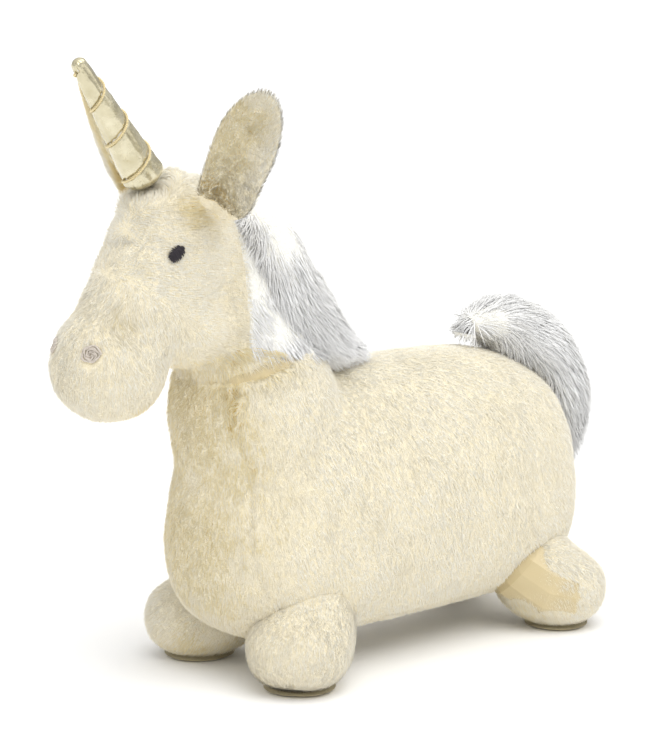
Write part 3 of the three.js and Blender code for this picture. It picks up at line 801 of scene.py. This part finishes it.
def ruffle(p):
    """How far the pile is brushed up at each place, from 0 to 1: in patches, along the shoulder's
    crease and down the upper part of the chest's seam."""
    mirrored = on_left(p)
    most = np.zeros(len(p))
    for middle, radius in RUFFLES:
        away = np.linalg.norm(mirrored - middle, axis=1) / radius
        most = np.maximum(most, 0.8 * np.exp(-(away**2)))
    uneven = 0.7 + 0.5 * field(p, 17, 31)[:, 0]
    shoulder = ((p[:, 1] + 14) / 46) ** 2
    crease = np.exp(-((above_neck_seam(p) / 16) ** 2) - shoulder) * (mirrored[:, 0] > 30)
    seam = np.exp(-((beyond_chest_seam(p) / 13) ** 2)) * np.clip((p[:, 2] - 175) / 60, 0, 1)
    on_body = (beyond_muzzle_seam(p) > 0) & (above_neck_seam(p) < 24) & (p[:, 1] < 20)
    most = np.maximum(most, 0.8 * np.maximum(crease, seam) * on_body) * uneven
    return np.clip(most + 0.1 * field(p, 24, 32)[:, 0], 0, 1)


def collar(p):
    """1 where pile leans on the horn's root, 0 away from it."""
    return np.exp(-((np.linalg.norm(p - (0, -106, 452), axis=1) / 27) ** 4))


# ---------------------------------------------------------------- putting a piece in its place


def settle(obj, body, nodes=()):
    """The piece rides on a body and stands for its CAD nodes, which are hidden."""
    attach(obj, body)
    if nodes:
        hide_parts(*nodes)
    return obj


# ---------------------------------------------------------------- cover

PILE_DEPTH = 4.5  # from the backing to the outside of the lying pile
SWELL = 3.5  # how far air pressure lifts the cloth between its seams
EYE = np.array([54.0, -111.5, 402.5])
NOSTRIL = np.array([26.0, -187, 320])
MANE_SPINE = [(0, -28, 446), (0, 2, 404), (0, 24, 352), (0, 70, 304), (0, 136, 272)]
ZIP_BACK = 252.0
MANE_SEAM = -31.0


def mane_share(p):
    """1 well inside the mane's strip, 0 outside it. The strip lies behind a seam straight down from
    each ear, above the shoulders and below the crown."""
    above_shoulder = p[:, 2] - 309 + 0.2 * (p[:, 1] + 34)
    inside = np.min([p[:, 1] - MANE_SEAM, above_shoulder, 452 - p[:, 2], 128 - p[:, 1]], axis=0)
    return np.clip(inside / 6 + 0.5, 0, 1)


def cover_cloth():
    """The cover's backing: barrel, neck, head and muzzle as one padded skin, held in at its seams."""
    inset = PILE_DEPTH + SWELL
    skin = fused("cover_cloth", [form(inset) for form in (barrel, neck, head, jowl, muzzle)], 5.0, 14)
    _, apart = panel_of(places(skin))
    inflate(skin, groove(apart, 7, 1), SWELL + 1.5)
    finer(skin)
    p, n = places(skin), normals(skin)
    _, apart = panel_of(p)
    up = above_neck_seam(p)
    side_x = np.abs(p[:, 0])
    depth = groove(apart, 3.2, 1.7) * np.clip(np.abs(beyond_muzzle_seam(p)) / 4, 0.3, 1)
    shoulder = np.exp(-(((side_x - 62) / 30) ** 2) - (((p[:, 1] + 18) / 44) ** 2))
    depth += groove(up, 5, 5) * shoulder
    front = np.exp(-((side_x / 40) ** 2)) * (p[:, 1] < -96)
    depth += groove(p[:, 2] - 446, 7, 3.4) * front
    depth += groove(p[:, 2] - 406 - 0.1 * p[:, 0], 9, 4.2) * front
    mirrored = on_left(p)
    depth += groove(np.linalg.norm(mirrored - EYE, axis=1), 11, 2.4)
    depth += groove(np.linalg.norm(mirrored - NOSTRIL, axis=1), 10, 3.0)
    under_nostril = np.clip((NOSTRIL[2] - p[:, 2]) / 12, 0, 1) * np.clip((p[:, 2] - 262) / 20, 0, 1)
    depth += groove(side_x - 30, 5, 0.9) * under_nostril * (p[:, 1] < -150)
    from_axis = np.linalg.norm(np.cross(p - HORN_BASE, HORN_AXIS), axis=1)
    near_horn = np.linalg.norm(p - HORN_BASE, axis=1) < 50
    depth -= groove(from_axis - 24, 9, 8) * near_horn
    zip_apart = np.max([side_x - 13, ZIP_FRONT - p[:, 1] - 2, p[:, 1] - ZIP_BACK - 2], axis=0)
    depth += 6 * np.clip(1 - zip_apart / 3, 0, 1) * (p[:, 2] < 45)
    depth += 1.3 * field(p, 55, 41)[:, 0] + 0.6 * field(p, 24, 42)[:, 0]
    move_to(skin, p - n * depth[:, None])
    skin.data.materials.append(CREAM_BACKING)
    return skin


def cover_nap(p, n):
    """The lie of the cover's pile: down the body, back along the head, down the muzzle."""
    up = np.clip(above_neck_seam(p) / 30, 0, 1) * np.clip(beyond_muzzle_seam(p) / 12, 0, 1)
    return np.array([0, 0.25, -1.0]) * (1 - up[:, None]) + np.array([0, 1.0, -0.25]) * up[:, None]


def off_cover_pile(p):
    """Where the cover's short pile is left off: at the embroidery, the zip and the long mane."""
    mirrored = on_left(p)
    eye = np.linalg.norm(mirrored - EYE, axis=1) < 8.5
    nostril = np.linalg.norm(mirrored - NOSTRIL, axis=1) < 10
    along_zip = (p[:, 1] > ZIP_FRONT - 4) & (p[:, 1] < ZIP_BACK + 4)
    zipped = (mirrored[:, 0] < 16) & along_zip & (p[:, 2] < 60)
    return eye | nostril | zipped | (mane_share(p) > 0.5)


COVER = settle(
    cover_cloth(), "root", [f"cover_{panel}" for panel in PANELS],
)
COVER_PANEL, _ = panel_of(face_places(COVER))
for number, panel in enumerate(PANELS):
    coat = short_pile(
        f"pile_{panel}", COVER, COVER_PANEL == number, COVER_PILE, cover_nap, 100 + number,
        clear=off_cover_pile,
    )
    settle(coat, "root")

# ---------------------------------------------------------------- legs and soles


def surface_near(skin, p):
    """For each place, how far outside a skin it is, below 0 inside, and the skin's nearest point and
    normal there."""
    near = [skin.closest_point_on_mesh(Vector(q)) for q in (p + (0, STANCE_Y, 0)) * MM]
    place = np.array([hit[1] for hit in near]) / MM - (0, STANCE_Y, 0)
    normal = np.array([hit[2] for hit in near])
    return dot(p - place, normal)[:, 0], place, normal


def leg_sleeve(name, place, side):
    """A leg's backing: a padded sleeve whose hidden end lies against the cover."""
    inset = PILE_DEPTH + SWELL
    floor = SOLE + 0.4
    skin = fused(f"leg_{name}_cloth", [leg(place, side, inset, floor + 1)], 4.5, 6)
    p = places(skin)
    inflate(skin, groove(p[:, 2] - floor, 8, 1), SWELL + 1)
    finer(skin)
    p = places(skin)
    p[:, 2] = np.maximum(p[:, 2], floor)
    outside, nearest, normal = surface_near(COVER, p)
    buried = outside < -2
    p[buried] = (nearest - 2 * normal)[buried]
    move_to(skin, p)
    skin.data.materials.append(CREAM_BACKING)
    return skin


def leg_nap(place, side):
    """The lie of a leg's pile: out along the leg and down over the toe."""
    turn = place[1]
    out = np.array([math.sin(turn * side), -math.cos(turn * side), 0])
    return lambda p, n: np.broadcast_to(out * 0.55 + (0, 0, -0.8), p.shape)


def sole(name, place, side):
    """A flat woven sole: the foot's form below the top of the sole, its cut edge rolled under."""
    rings = leg(place, side, 3.5, 0.0)
    made = piece(f"sole_{name}_cloth", skin_of(rings))
    work = bmesh.new()
    work.from_mesh(made.data)
    every = work.verts[:] + work.edges[:] + work.faces[:]
    cut = bmesh.ops.bisect_plane(
        work, geom=every, plane_co=(0, 0, SOLE * MM), plane_no=(0, 0, 1), clear_outer=True,
    )
    rim = [e for e in cut["geom_cut"] if isinstance(e, bmesh.types.BMEdge)]
    bmesh.ops.holes_fill(work, edges=rim)
    bmesh.ops.recalc_face_normals(work, faces=work.faces)
    work.to_mesh(made.data)
    work.free()
    made.data.materials.append(SOLE_CLOTH)
    return made


for name, (place, side) in LEGS.items():
    sleeve = settle(leg_sleeve(name, place, side), "root", [f"leg_{name}"])
    middles = face_places(sleeve)
    outside, _, _ = surface_near(COVER, middles)
    shown = (outside > -4) & (middles[:, 2] > SOLE + 1)
    seed = 120 + list(LEGS).index(name)
    coat = short_pile(f"pile_leg_{name}", sleeve, shown, LEG_PILE, leg_nap(place, side), seed)
    settle(coat, "root")
    settle(sole(name, place, side), "root", [f"sole_{name}"])

# ---------------------------------------------------------------- ears

EAR_ROOT = np.array([61.0, -81, 442])
EAR_AXIS = unit(np.array([0.58, 0.02, 0.81]))
EAR_TURN = math.radians(40)
EAR_LENGTH = 114.0


def ear_place(side):
    """A function from the ear's own millimetres, x across, y to its back and z to its tip, to the
    unicorn's."""
    axis = EAR_AXIS * (side, 1, 1)
    front = np.array([math.sin(EAR_TURN) * side, -math.cos(EAR_TURN), 0])
    back = -unit(front - axis * (front @ axis))
    across = np.cross(back, axis)
    turned = np.stack([across, back, axis])
    return lambda p: p @ turned + EAR_ROOT * (side, 1, 1), turned


def cupped(p, side):
    """An ear's form hollowed at its front: the middle goes back and the edges come forward, most at
    the root, where the outer edge also flares and the cloth is pinched into a pleat."""
    rise = p[..., 2] / EAR_LENGTH
    outward = p[..., 0] * side
    hollow = (15 * (1 - rise) ** 2 + 4) * (0.45 - (outward / 30) ** 2)
    flare = 1 + 0.42 * np.exp(-(((rise + 0.1) / 0.3) ** 2)) * np.clip(outward / 15, 0, 1)
    waist = 1 - 0.26 * np.exp(-(((rise - 0.2) / 0.5) ** 2)) * np.clip(-outward / 10, 0, 1)
    pleat = 2.8 * np.exp(-((outward / 5) ** 2) - (rise / 0.3) ** 2) * (p[..., 1] < 0)
    return np.stack([p[..., 0] * flare * waist, p[..., 1] + hollow + pleat, p[..., 2]], -1)


def ear_rings(inset):
    return limb(
        [(0, 0, -20), (0, 0, EAR_LENGTH / 2), (0, 0, EAR_LENGTH + 7)], [(30, 13), (32, 12), (26, 9)],
        end_square=2.3, inset=inset, rings=56, sides=80,
    )


def ear_half(side, front):
    """One face of an ear: the outside of its half of the form, and its inside a cloth's thickness in,
    as one closed ring at each height."""
    cloth = 1.4
    outer, inner = ear_rings(3.0), ear_rings(3.0 + cloth)
    half = outer.shape[1] // 2
    if front:
        ring = np.concatenate([outer[:, :half + 1], inner[:, half::-1]], axis=1)
    else:
        around = np.r_[half:2 * half, 0]
        ring = np.concatenate([outer[:, around], inner[:, around[::-1]]], axis=1)
    ring[..., 1] += -0.2 if front else 0.2
    points, faces = skin_of(cupped(ring, side))
    to_place, _ = ear_place(side)
    return to_place(points), faces


def ear_hollow_shade(side):
    """Painted shade in the hollow of an ear's front: how much warmer and darker its pile is made there,
    while its outer rim is cream like the back.
    """
    _, turned = ear_place(side)

    def share(p):
        own = (p - EAR_ROOT * (side, 1, 1)) @ turned.T
        rim = np.clip((own[:, 0] * side - 6) / 16 + 0.25 * field(p, 9, 71)[:, 0], 0, 1)
        return 0.62 * (1 - rim) * np.clip((EAR_LENGTH + 4 - own[:, 2]) / 22, 0, 1)
    return share


def ear(side_name, side):
    """An ear's two faces with their pile, and the stuffing between them."""
    to_place, turned = ear_place(side)
    body = f"ear_{side_name}"
    lie = turned[2]
    for face_name, front in (("front", True), ("back", False)):
        node = f"{body}_{face_name}"
        half = piece(f"{node}_cloth", ear_half(side, front), [CREAM_BACKING])
        settle(half, body, [node])
        middles = (face_places(half) - EAR_ROOT * (side, 1, 1)) @ turned.T
        facing = vectors(half.data.polygons, "normal") @ turned[1]
        shown = (facing < 0.1 if front else facing > -0.1) & (middles[:, 2] > -4)
        coat = short_pile(
            f"pile_{node}", half, shown, EAR_PILE, lambda p, n: np.broadcast_to(lie, p.shape),
            140 + 4 * front + side, length=5.5 if front else 6.5, lay=28.0,
            warm=ear_hollow_shade(side) if front else None,
        )
        settle(coat, body)
    points, faces = skin_of(cupped(ear_rings(5.2), side))
    stuffing = piece(f"{body}_stuffing", (to_place(points), faces), [WADDING])
    settle(stuffing, body, [f"{body}_wadding"])


for side_name, side in SIDES:
    ear(side_name, side)

# ---------------------------------------------------------------- horn

HORN_TIP = HORN_BASE + HORN_REACH
HORN_LIFT = 9.0
HORN_BEND = HORN_BASE + HORN_AXIS * HORN_LIFT
HORN_LENGTH = np.linalg.norm(HORN_TIP - HORN_BEND)
HORN_RADIUS, HORN_TIP_RADIUS = 18.3, 7.0
CORD_TURNS = 3.1
CORD_PHASE = -2 * math.pi / 3
CORD_START, CORD_END = 4.0, HORN_LENGTH - HORN_TIP_RADIUS - 2


def from_horn(p):
    """From the horn's own millimetres, z along it, to the unicorn's."""
    turn = Vector((0, 0, 1)).rotation_difference(Vector(HORN_AXIS)).to_matrix()
    return p @ np.array(turn).T + HORN_BEND


def cord_turn(height):
    """The angle at which the cord crosses each height of the horn."""
    return CORD_PHASE + 2 * math.pi * CORD_TURNS * (height - CORD_START) / (CORD_END - CORD_START)


def cone_radius(height):
    share = height / (HORN_LENGTH - HORN_TIP_RADIUS)
    return HORN_RADIUS + (HORN_TIP_RADIUS - HORN_RADIUS) * share


def horn_foil():
    """The horn's cloth: a cone closed by a dome below and a gathered cap above. Its radius is the
    cone's, less a channel under the cord and lengthwise creases, plus a swell between two turns."""
    dome = np.linspace(0, math.pi / 2, 10)[:-1]
    cap = np.linspace(0, math.pi / 2, 14)[1:]
    foot, top = 1.5, HORN_LENGTH - HORN_TIP_RADIUS
    shaft = np.linspace(foot, top, 230)
    height = np.concatenate([foot - 11 * np.cos(dome), shaft, top + HORN_TIP_RADIUS * np.sin(cap)])
    ends = HORN_RADIUS * np.sin(dome), HORN_TIP_RADIUS * np.cos(cap)
    radius = np.concatenate([ends[0], cone_radius(shaft), ends[1]])
    turn = np.linspace(0, 2 * math.pi, 144, endpoint=False)
    high, round_it = np.broadcast_arrays(height[:, None], turn)
    pitch = (CORD_END - CORD_START) / CORD_TURNS
    phase = (round_it - cord_turn(high)) / (2 * math.pi)
    off = (phase - np.round(phase)) * pitch
    wound = np.clip((high - CORD_START + 4) / 4, 0, 1) * np.clip((CORD_END + 3 - high) / 4, 0, 1)
    channel = 1.3 * np.exp(-((off / 2.0) ** 2)) * wound
    swell = 0.4 * (1 - np.exp(-((off / 6) ** 2))) * wound
    long_place = np.stack([np.cos(round_it) * 10, np.sin(round_it) * 10, high / 5.5], -1).reshape(-1, 3)
    fine_place = np.stack([np.cos(round_it) * 14, np.sin(round_it) * 14, high / 3], -1).reshape(-1, 3)
    crease = field(long_place, 4.2, 51)[:, 0].reshape(high.shape)
    small = field(fine_place, 2.6, 52)[:, 0].reshape(high.shape)
    creased = -1.2 * np.abs(crease) ** 0.7 + 0.2 * small
    tip_gather = 0.5 * np.cos(9 * round_it) * np.clip((high - CORD_END) / 6, 0, 1)
    near_root = 0.8 * np.cos(13 * round_it + 2 * crease) * np.exp(-(((high - 3) / 6) ** 2))
    shape = np.clip(high / 8, 0, 1) * np.clip((HORN_LENGTH - high) / 6, 0, 1)
    off_cone = (creased + swell - channel + tip_gather) * shape
    full = radius[:, None] + off_cone + near_root * (radius[:, None] > 12)
    full = np.maximum(full, 0)
    rings = np.stack([full * np.cos(round_it), full * np.sin(round_it), high], -1)
    points, faces = skin_of(rings)
    return piece("horn_foil", (from_horn(points), faces), [FOIL])


def tube(path, radius, sides):
    """A closed tube along a path of points: rings of points square to the path, shrunk to a point at
    both ends. radius is a number, or one for each point of the path."""
    ahead = unit(np.gradient(path, axis=0))
    guide = unit(np.array([0.11, 0.23, 0.97]))
    first = unit(np.cross(ahead, guide))
    second = np.cross(ahead, first)
    turn = np.linspace(0, 2 * math.pi, sides, endpoint=False)
    size = np.broadcast_to(radius, len(path)).copy()
    size[[0, -1]] = 0
    ring = first[:, None] * np.cos(turn)[:, None] + second[:, None] * np.sin(turn)[:, None]
    return skin_of(path[:, None] + ring * size[:, None, None])


def horn_winding():
    """Two plies twisted round each other along a winding up the horn: each ply's middle line circles
    the winding once every 4.5 mm."""
    height = np.linspace(CORD_START, CORD_END, 620)
    angle = cord_turn(height)
    lift = cone_radius(height) + 0.35
    middle = np.stack([lift * np.cos(angle), lift * np.sin(angle), height], -1)
    run = np.concatenate([[0], np.cumsum(np.linalg.norm(np.diff(middle, axis=0), axis=1))])
    outward = np.stack([np.cos(angle), np.sin(angle), 0 * angle], -1)
    ahead = unit(np.gradient(middle, axis=0))
    beside = np.cross(ahead, outward)
    plies = []
    for start in (0, math.pi):
        twist = (2 * math.pi * run / 4.5 + start)[:, None]
        path = middle + 0.62 * (np.cos(twist) * outward + np.sin(twist) * beside)
        points, faces = tube(path, 0.68, 6)
        plies.append((from_horn(points), faces))
    return piece("horn_twisted_cord", joined(plies), [CORD])


settle(horn_foil(), "horn", ["horn_cover"])
settle(horn_winding(), "horn", ["horn_cord"])

# ---------------------------------------------------------------- embroidery


def patch(anchor, side, tilt):
    """A function from a flat patch's (right, up, off) in millimetres to the head, round the skin's
    point nearest to anchor. The skin curves away with the radius of the head, and the patch is
    turned by tilt."""
    wanted = anchor * (side, 1, 1)
    _, place, normal = surface_near(COVER, wanted[None])
    place, normal = place[0], normal[0]
    right = unit(np.cross((0, 0, 1), normal)) * side
    up = np.cross(normal, right) * side
    c, s = math.cos(tilt), math.sin(tilt)
    right, up = right * c + up * s, up * c - right * s
    curve = 2 * 58.0

    def to_head(flat):
        a, b, off = flat[..., :1], flat[..., 1:2], flat[..., 2:]
        return place + a * right + b * up + (off - (a**2 + b**2) / curve) * normal
    return to_head


def satin_eye(side):
    """An oval of satin stitches laid side by side over a raised core: each stitch is a short arched
    tube from edge to edge, its ends a little uneven."""
    rng = np.random.default_rng(61)
    to_head = patch(EYE, side, math.radians(38))
    half_long, half_high, pitch = 8.4, 5.2, 0.52
    across = np.arange(-half_long + 0.4, half_long, pitch)
    t = np.linspace(-1, 1, 9)
    stitches = []
    for lift, shift in ((2.4, 0.0), (2.9, pitch / 2)):
        for b in across + shift:
            reach = half_high * math.sqrt(max(0.03, 1 - (b / half_long) ** 2)) + rng.uniform(-1.1, 1.7)
            slant = rng.uniform(-0.35, 0.35)
            arch = lift + 0.9 * np.sqrt(np.maximum(0, 1 - t**2)) - 1.4 * t**4
            flat = np.stack([b + slant * t, reach * t, arch + rng.uniform(-0.1, 0.1)], -1)
            stitches.append(tube(to_head(flat), 0.36, 5))
    return joined(stitches)


def swirl_nostril(side):
    """A nostril of thread laid in a swirl from its edge to its middle."""
    to_head = patch(NOSTRIL, side, 0)
    turn = np.linspace(0, 2 * math.pi * 4.4, 260)
    shrink = turn / turn[-1]
    radius = 7.8 * (1 - shrink) + 0.9
    wobble = 0.5 * np.sin(2.3 * turn) + 0.4 * np.sin(5.1 * turn + 1)
    off = 2.4 - 2.2 * shrink**2 + 0.5 * np.sin(3.7 * turn)
    flat = np.stack([(radius + wobble) * np.cos(turn), 0.9 * (radius + wobble) * np.sin(turn), off], -1)
    return tube(to_head(flat), 0.95, 6)


for side_name, side in SIDES:
    eye = piece(f"eye_{side_name}_stitches", satin_eye(side), [EYE_THREAD])
    settle(eye, "root", [f"eye_{side_name}"])
    nostril = piece(f"nostril_{side_name}_stitches", swirl_nostril(side), [NOSTRIL_THREAD])
    settle(nostril, "root", [f"nostril_{side_name}"])

# ---------------------------------------------------------------- mane and tail


def long_pile(name, base, faces, line, length, density, seed, lay):
    """Long combed-out pile on some faces of a mesh: a fibre leaves its root between the normal and the
    way along a line, then falls. On faces that look forward the fibres hang. Locks of fibres share
    a lean, and single fibres stray."""
    rng = np.random.default_rng(seed)
    root, normal = scattered(base, faces, density, rng, faces_each=10)
    path = spline(line, np.linspace(0, 1, 60))
    ahead = unit(np.gradient(path, axis=0))
    along = ahead[np.linalg.norm(root[:, None] - path, axis=-1).argmin(1)]
    front = np.clip(-1.4 * normal[:, 1:2] - 0.3, 0, 1)
    along = along * (1 - front) + np.array([0, -0.3, -0.25]) * front
    centre, own = tuft(root, 12.0, seed + 1)
    sway = field(root, 26, seed + 2, 3) * 0.2 + field(root, 8, seed + 3, 3) * 0.1
    way = unit(normal * lay + along + sway + rng.normal(0, 0.1, root.shape))
    long = length * (0.7 + 0.45 * rng.random(len(root)))
    bend = (centre - root) * 0.15 + np.array([0, 0, -2.0]) * (0.6 + 0.8 * rng.random((len(root), 1)))
    bend = bend + field(root, 15, seed + 4, 3) * 0.1 * length
    width = 0.55 + 0.35 * rng.random(len(root))
    shade = shade_of(root, own, np.full(len(root), -0.05), rng)
    sunk = root - normal * 0.5
    return fibres(name, sunk, normal, way, long, width, bend, shade, WHITE, [0.0, 0.5], lift=0.55)


MANE_SIZES = [(46, 24), (58, 40), (62, 46), (56, 36), (30, 22)]


def pad(name, line, sizes, inset, front):
    """The sewn-in pad under long pile, drawn smooth, with nothing of it before the given Y."""
    rings = limb(line, sizes, end_square=2.4, inset=inset)
    rings[..., 1] = np.maximum(rings[..., 1], front)
    return piece(name, skin_of(rings), [WHITE_BACKING])


def mane():
    """The mane: a crest of long pile on its pad, and long pile down both sides of the neck."""
    base = pad("mane_pad", MANE_SPINE, MANE_SIZES, 5.0, -60)
    settle(base, "root", ["mane"])
    above_cover, _, _ = surface_near(COVER, face_places(base))
    strip = mane_share(face_places(COVER)) > 0.5
    COVER.data.materials.append(WHITE_BACKING)
    COVER.data.polygons.foreach_set("material_index", strip.astype(int))
    crest = long_pile("mane_crest", base, above_cover > -3, MANE_SPINE, 18.0, LONG_PILE, 72, 0.22)
    settle(crest, "root")
    beyond_pad, _, _ = surface_near(base, face_places(COVER)[strip])
    strip[strip] = beyond_pad > -3
    sides = long_pile("mane_sides", COVER, strip, MANE_SPINE, 16.0, LONG_PILE, 76, 0.2)
    settle(sides, "root")


TAIL_SPINE = [(0, 256, 284), (0, 310, 282), (0, 362, 248), (0, 388, 196), (0, 390, 132)]
TAIL_SIZES = [(26, 20), (40, 34), (44, 38), (42, 36), (30, 30)]
TAIL_FRONT = 270.0
TAIL_CLEAR = 9.0  # between the cover and the tail, for the cover's pile to lie in


def tail():
    """The tail: a pad that keeps clear of the rump, with long pile wherever it isn't pressed."""
    base = pad("tail_pad", TAIL_SPINE, TAIL_SIZES, 8.0, TAIL_FRONT)
    points = places(base)
    clear, rump, rump_normal = surface_near(COVER, points)
    pressed = clear < TAIL_CLEAR
    points[pressed] = (rump + TAIL_CLEAR * rump_normal)[pressed]
    move_to(base, points)
    settle(base, "tail", ["tail_core"])
    clear, _, _ = surface_near(COVER, face_places(base))
    coat = long_pile("tail_coat", base, clear > TAIL_CLEAR + 0.5, TAIL_SPINE, 20.0, LONG_PILE, 82, 0.3)
    settle(coat, "tail", ["tail_pile"])


mane()
tail()

# ---------------------------------------------------------------- zip


def zip_tape(side):
    """A woven tape with softly rounded edges and a slight ripple along it."""
    low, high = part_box(f"zip_tape_{'left' if side > 0 else 'right'}")
    middle = (low.z + high.z) / 2 / MM
    ends = [(0, ZIP_FRONT, middle), (0, (ZIP_FRONT + ZIP_BACK) / 2, middle), (0, ZIP_BACK, middle)]
    rings = limb(ends, [(5.4, 0.55)] * 3, end_square=40, ring_square=6, rings=160, sides=24)
    rings[..., 0] += side * 6.9
    rings[..., 2] += 0.15 * np.sin(rings[..., 1] / 7) * (np.abs(rings[..., 0]) > 5)
    return skin_of(rings)


def zip_coil(side):
    """A row of nylon coil: one tube wound round the tape's inner edge, a turn every 1.3 mm."""
    low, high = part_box(f"zip_tape_{'left' if side > 0 else 'right'}")
    middle = (low.z + high.z) / 2 / MM
    start, end, pitch = ZIP_FRONT + 6, ZIP_BACK - 6, 1.3
    turns = (end - start) / pitch
    angle = np.linspace(0, 2 * math.pi * turns, int(8 * turns))
    y = start + (end - start) * angle / angle[-1] + 0.25 * pitch * side
    x = side * (1.9 + 0.85 * np.cos(angle))
    return tube(np.stack([x, y, middle + 0.85 * np.sin(angle)], -1), 0.3, 4)


def rounded(node, width):
    """A CAD node's own form with its doubles merged and its edges rounded off."""
    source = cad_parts[node]
    made = source.copy()
    made.data = source.data.copy()
    made.name = f"{node}_cast"
    made.parent = None
    bpy.context.scene.collection.objects.link(made)
    for key in [k for k in made.keys() if k.startswith("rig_")]:
        del made[key]
    weld = made.modifiers.new("weld", "WELD")
    weld.merge_threshold = 1e-5
    bevel = made.modifiers.new("bevel", "BEVEL")
    bevel.width = width * MM
    bevel.segments = 2
    bevel.limit_method = "ANGLE"
    worked(made)
    made.data.materials.clear()
    made.data.materials.append(ZIP_METAL)
    return made


for side_name, side in SIDES:
    tape = piece(f"zip_tape_{side_name}_weave", zip_tape(side), [ZIP_CLOTH])
    settle(tape, "root", [f"zip_tape_{side_name}"])
    settle(piece(f"zip_coil_{side_name}", zip_coil(side), [ZIP_CLOTH]), "root")
settle(rounded("zip_slider", 0.25), "zip_slider", ["zip_slider"])
settle(rounded("zip_pull_tab", 0.25), "pull_tab", ["zip_pull_tab"])
for end in ("front", "rear"):
    settle(rounded(f"zip_stop_{end}", 0.3), "root", [f"zip_stop_{end}"])

# ---------------------------------------------------------------- pieces kept as they are

for node, material in {
    "bladder": BLADDER_VINYL,
    "valve_seat": VALVE_VINYL,
    "valve_plug": VALVE_VINYL,
    "horn_stuffing": WADDING,
    "tail_tab": WHITE_BACKING,
}.items():
    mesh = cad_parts[node].data
    mesh.materials.clear()
    mesh.materials.append(material)

# ---------------------------------------------------------------- studio

FLOOR_RADIUS, FLOOR_DEPTH = 20000.0, 50.0
SKY_LOW, SKY_HIGH = 0.5, 1.35  # brightness at the horizon and overhead
SUN, SUN_SPREAD = 1.3, math.radians(50)
SUN_FROM = (0.6, -0.05, 1.2)


def studio():
    """A pale floor under a white sky that dims to the horizon, and one broad soft light from above
    the unicorn's left flank."""
    turn = np.linspace(0, 2 * math.pi, 64, endpoint=False)
    rim = np.stack([np.cos(turn), np.sin(turn), 0 * turn], -1) * FLOOR_RADIUS
    down = np.array([0, 0, -FLOOR_DEPTH])
    rings = np.stack([0 * rim, rim, rim + down, 0 * rim + down])
    floor = piece("floor", skin_of(rings), [studio_floor()], smooth=False)
    world = bpy.data.worlds.new("studio")
    world.use_nodes = True
    tree = world.node_tree
    tree.nodes.clear()
    direction = add(tree, "ShaderNodeTexCoord").outputs["Generated"]
    height = add(tree, "ShaderNodeSeparateXYZ", {0: direction}).outputs[2]
    span = {"From Min": 0.0, "From Max": 0.75, "To Min": SKY_LOW, "To Max": SKY_HIGH}
    bright = add(tree, "ShaderNodeMapRange", {"Value": height, **span})
    seen = add(tree, "ShaderNodeLightPath").outputs["Is Camera Ray"]
    strength = add(tree, "ShaderNodeMath", {0: bright.outputs[0], 1: seen}, operation="MAXIMUM")
    sky = add(tree, "ShaderNodeBackground", {"Strength": strength.outputs[0]})
    add(tree, "ShaderNodeOutputWorld", {"Surface": sky.outputs[0]})
    bpy.context.scene.world = world
    lamp = bpy.data.lights.new("soft_sun", "SUN")
    lamp.energy = SUN
    lamp.angle = SUN_SPREAD
    made = bpy.data.objects.new("soft_sun", lamp)
    made.rotation_euler = Vector(SUN_FROM).to_track_quat("Z", "Y").to_euler()
    bpy.context.scene.collection.objects.link(made)
    bpy.context.scene.view_settings.view_transform = "Standard"


studio()
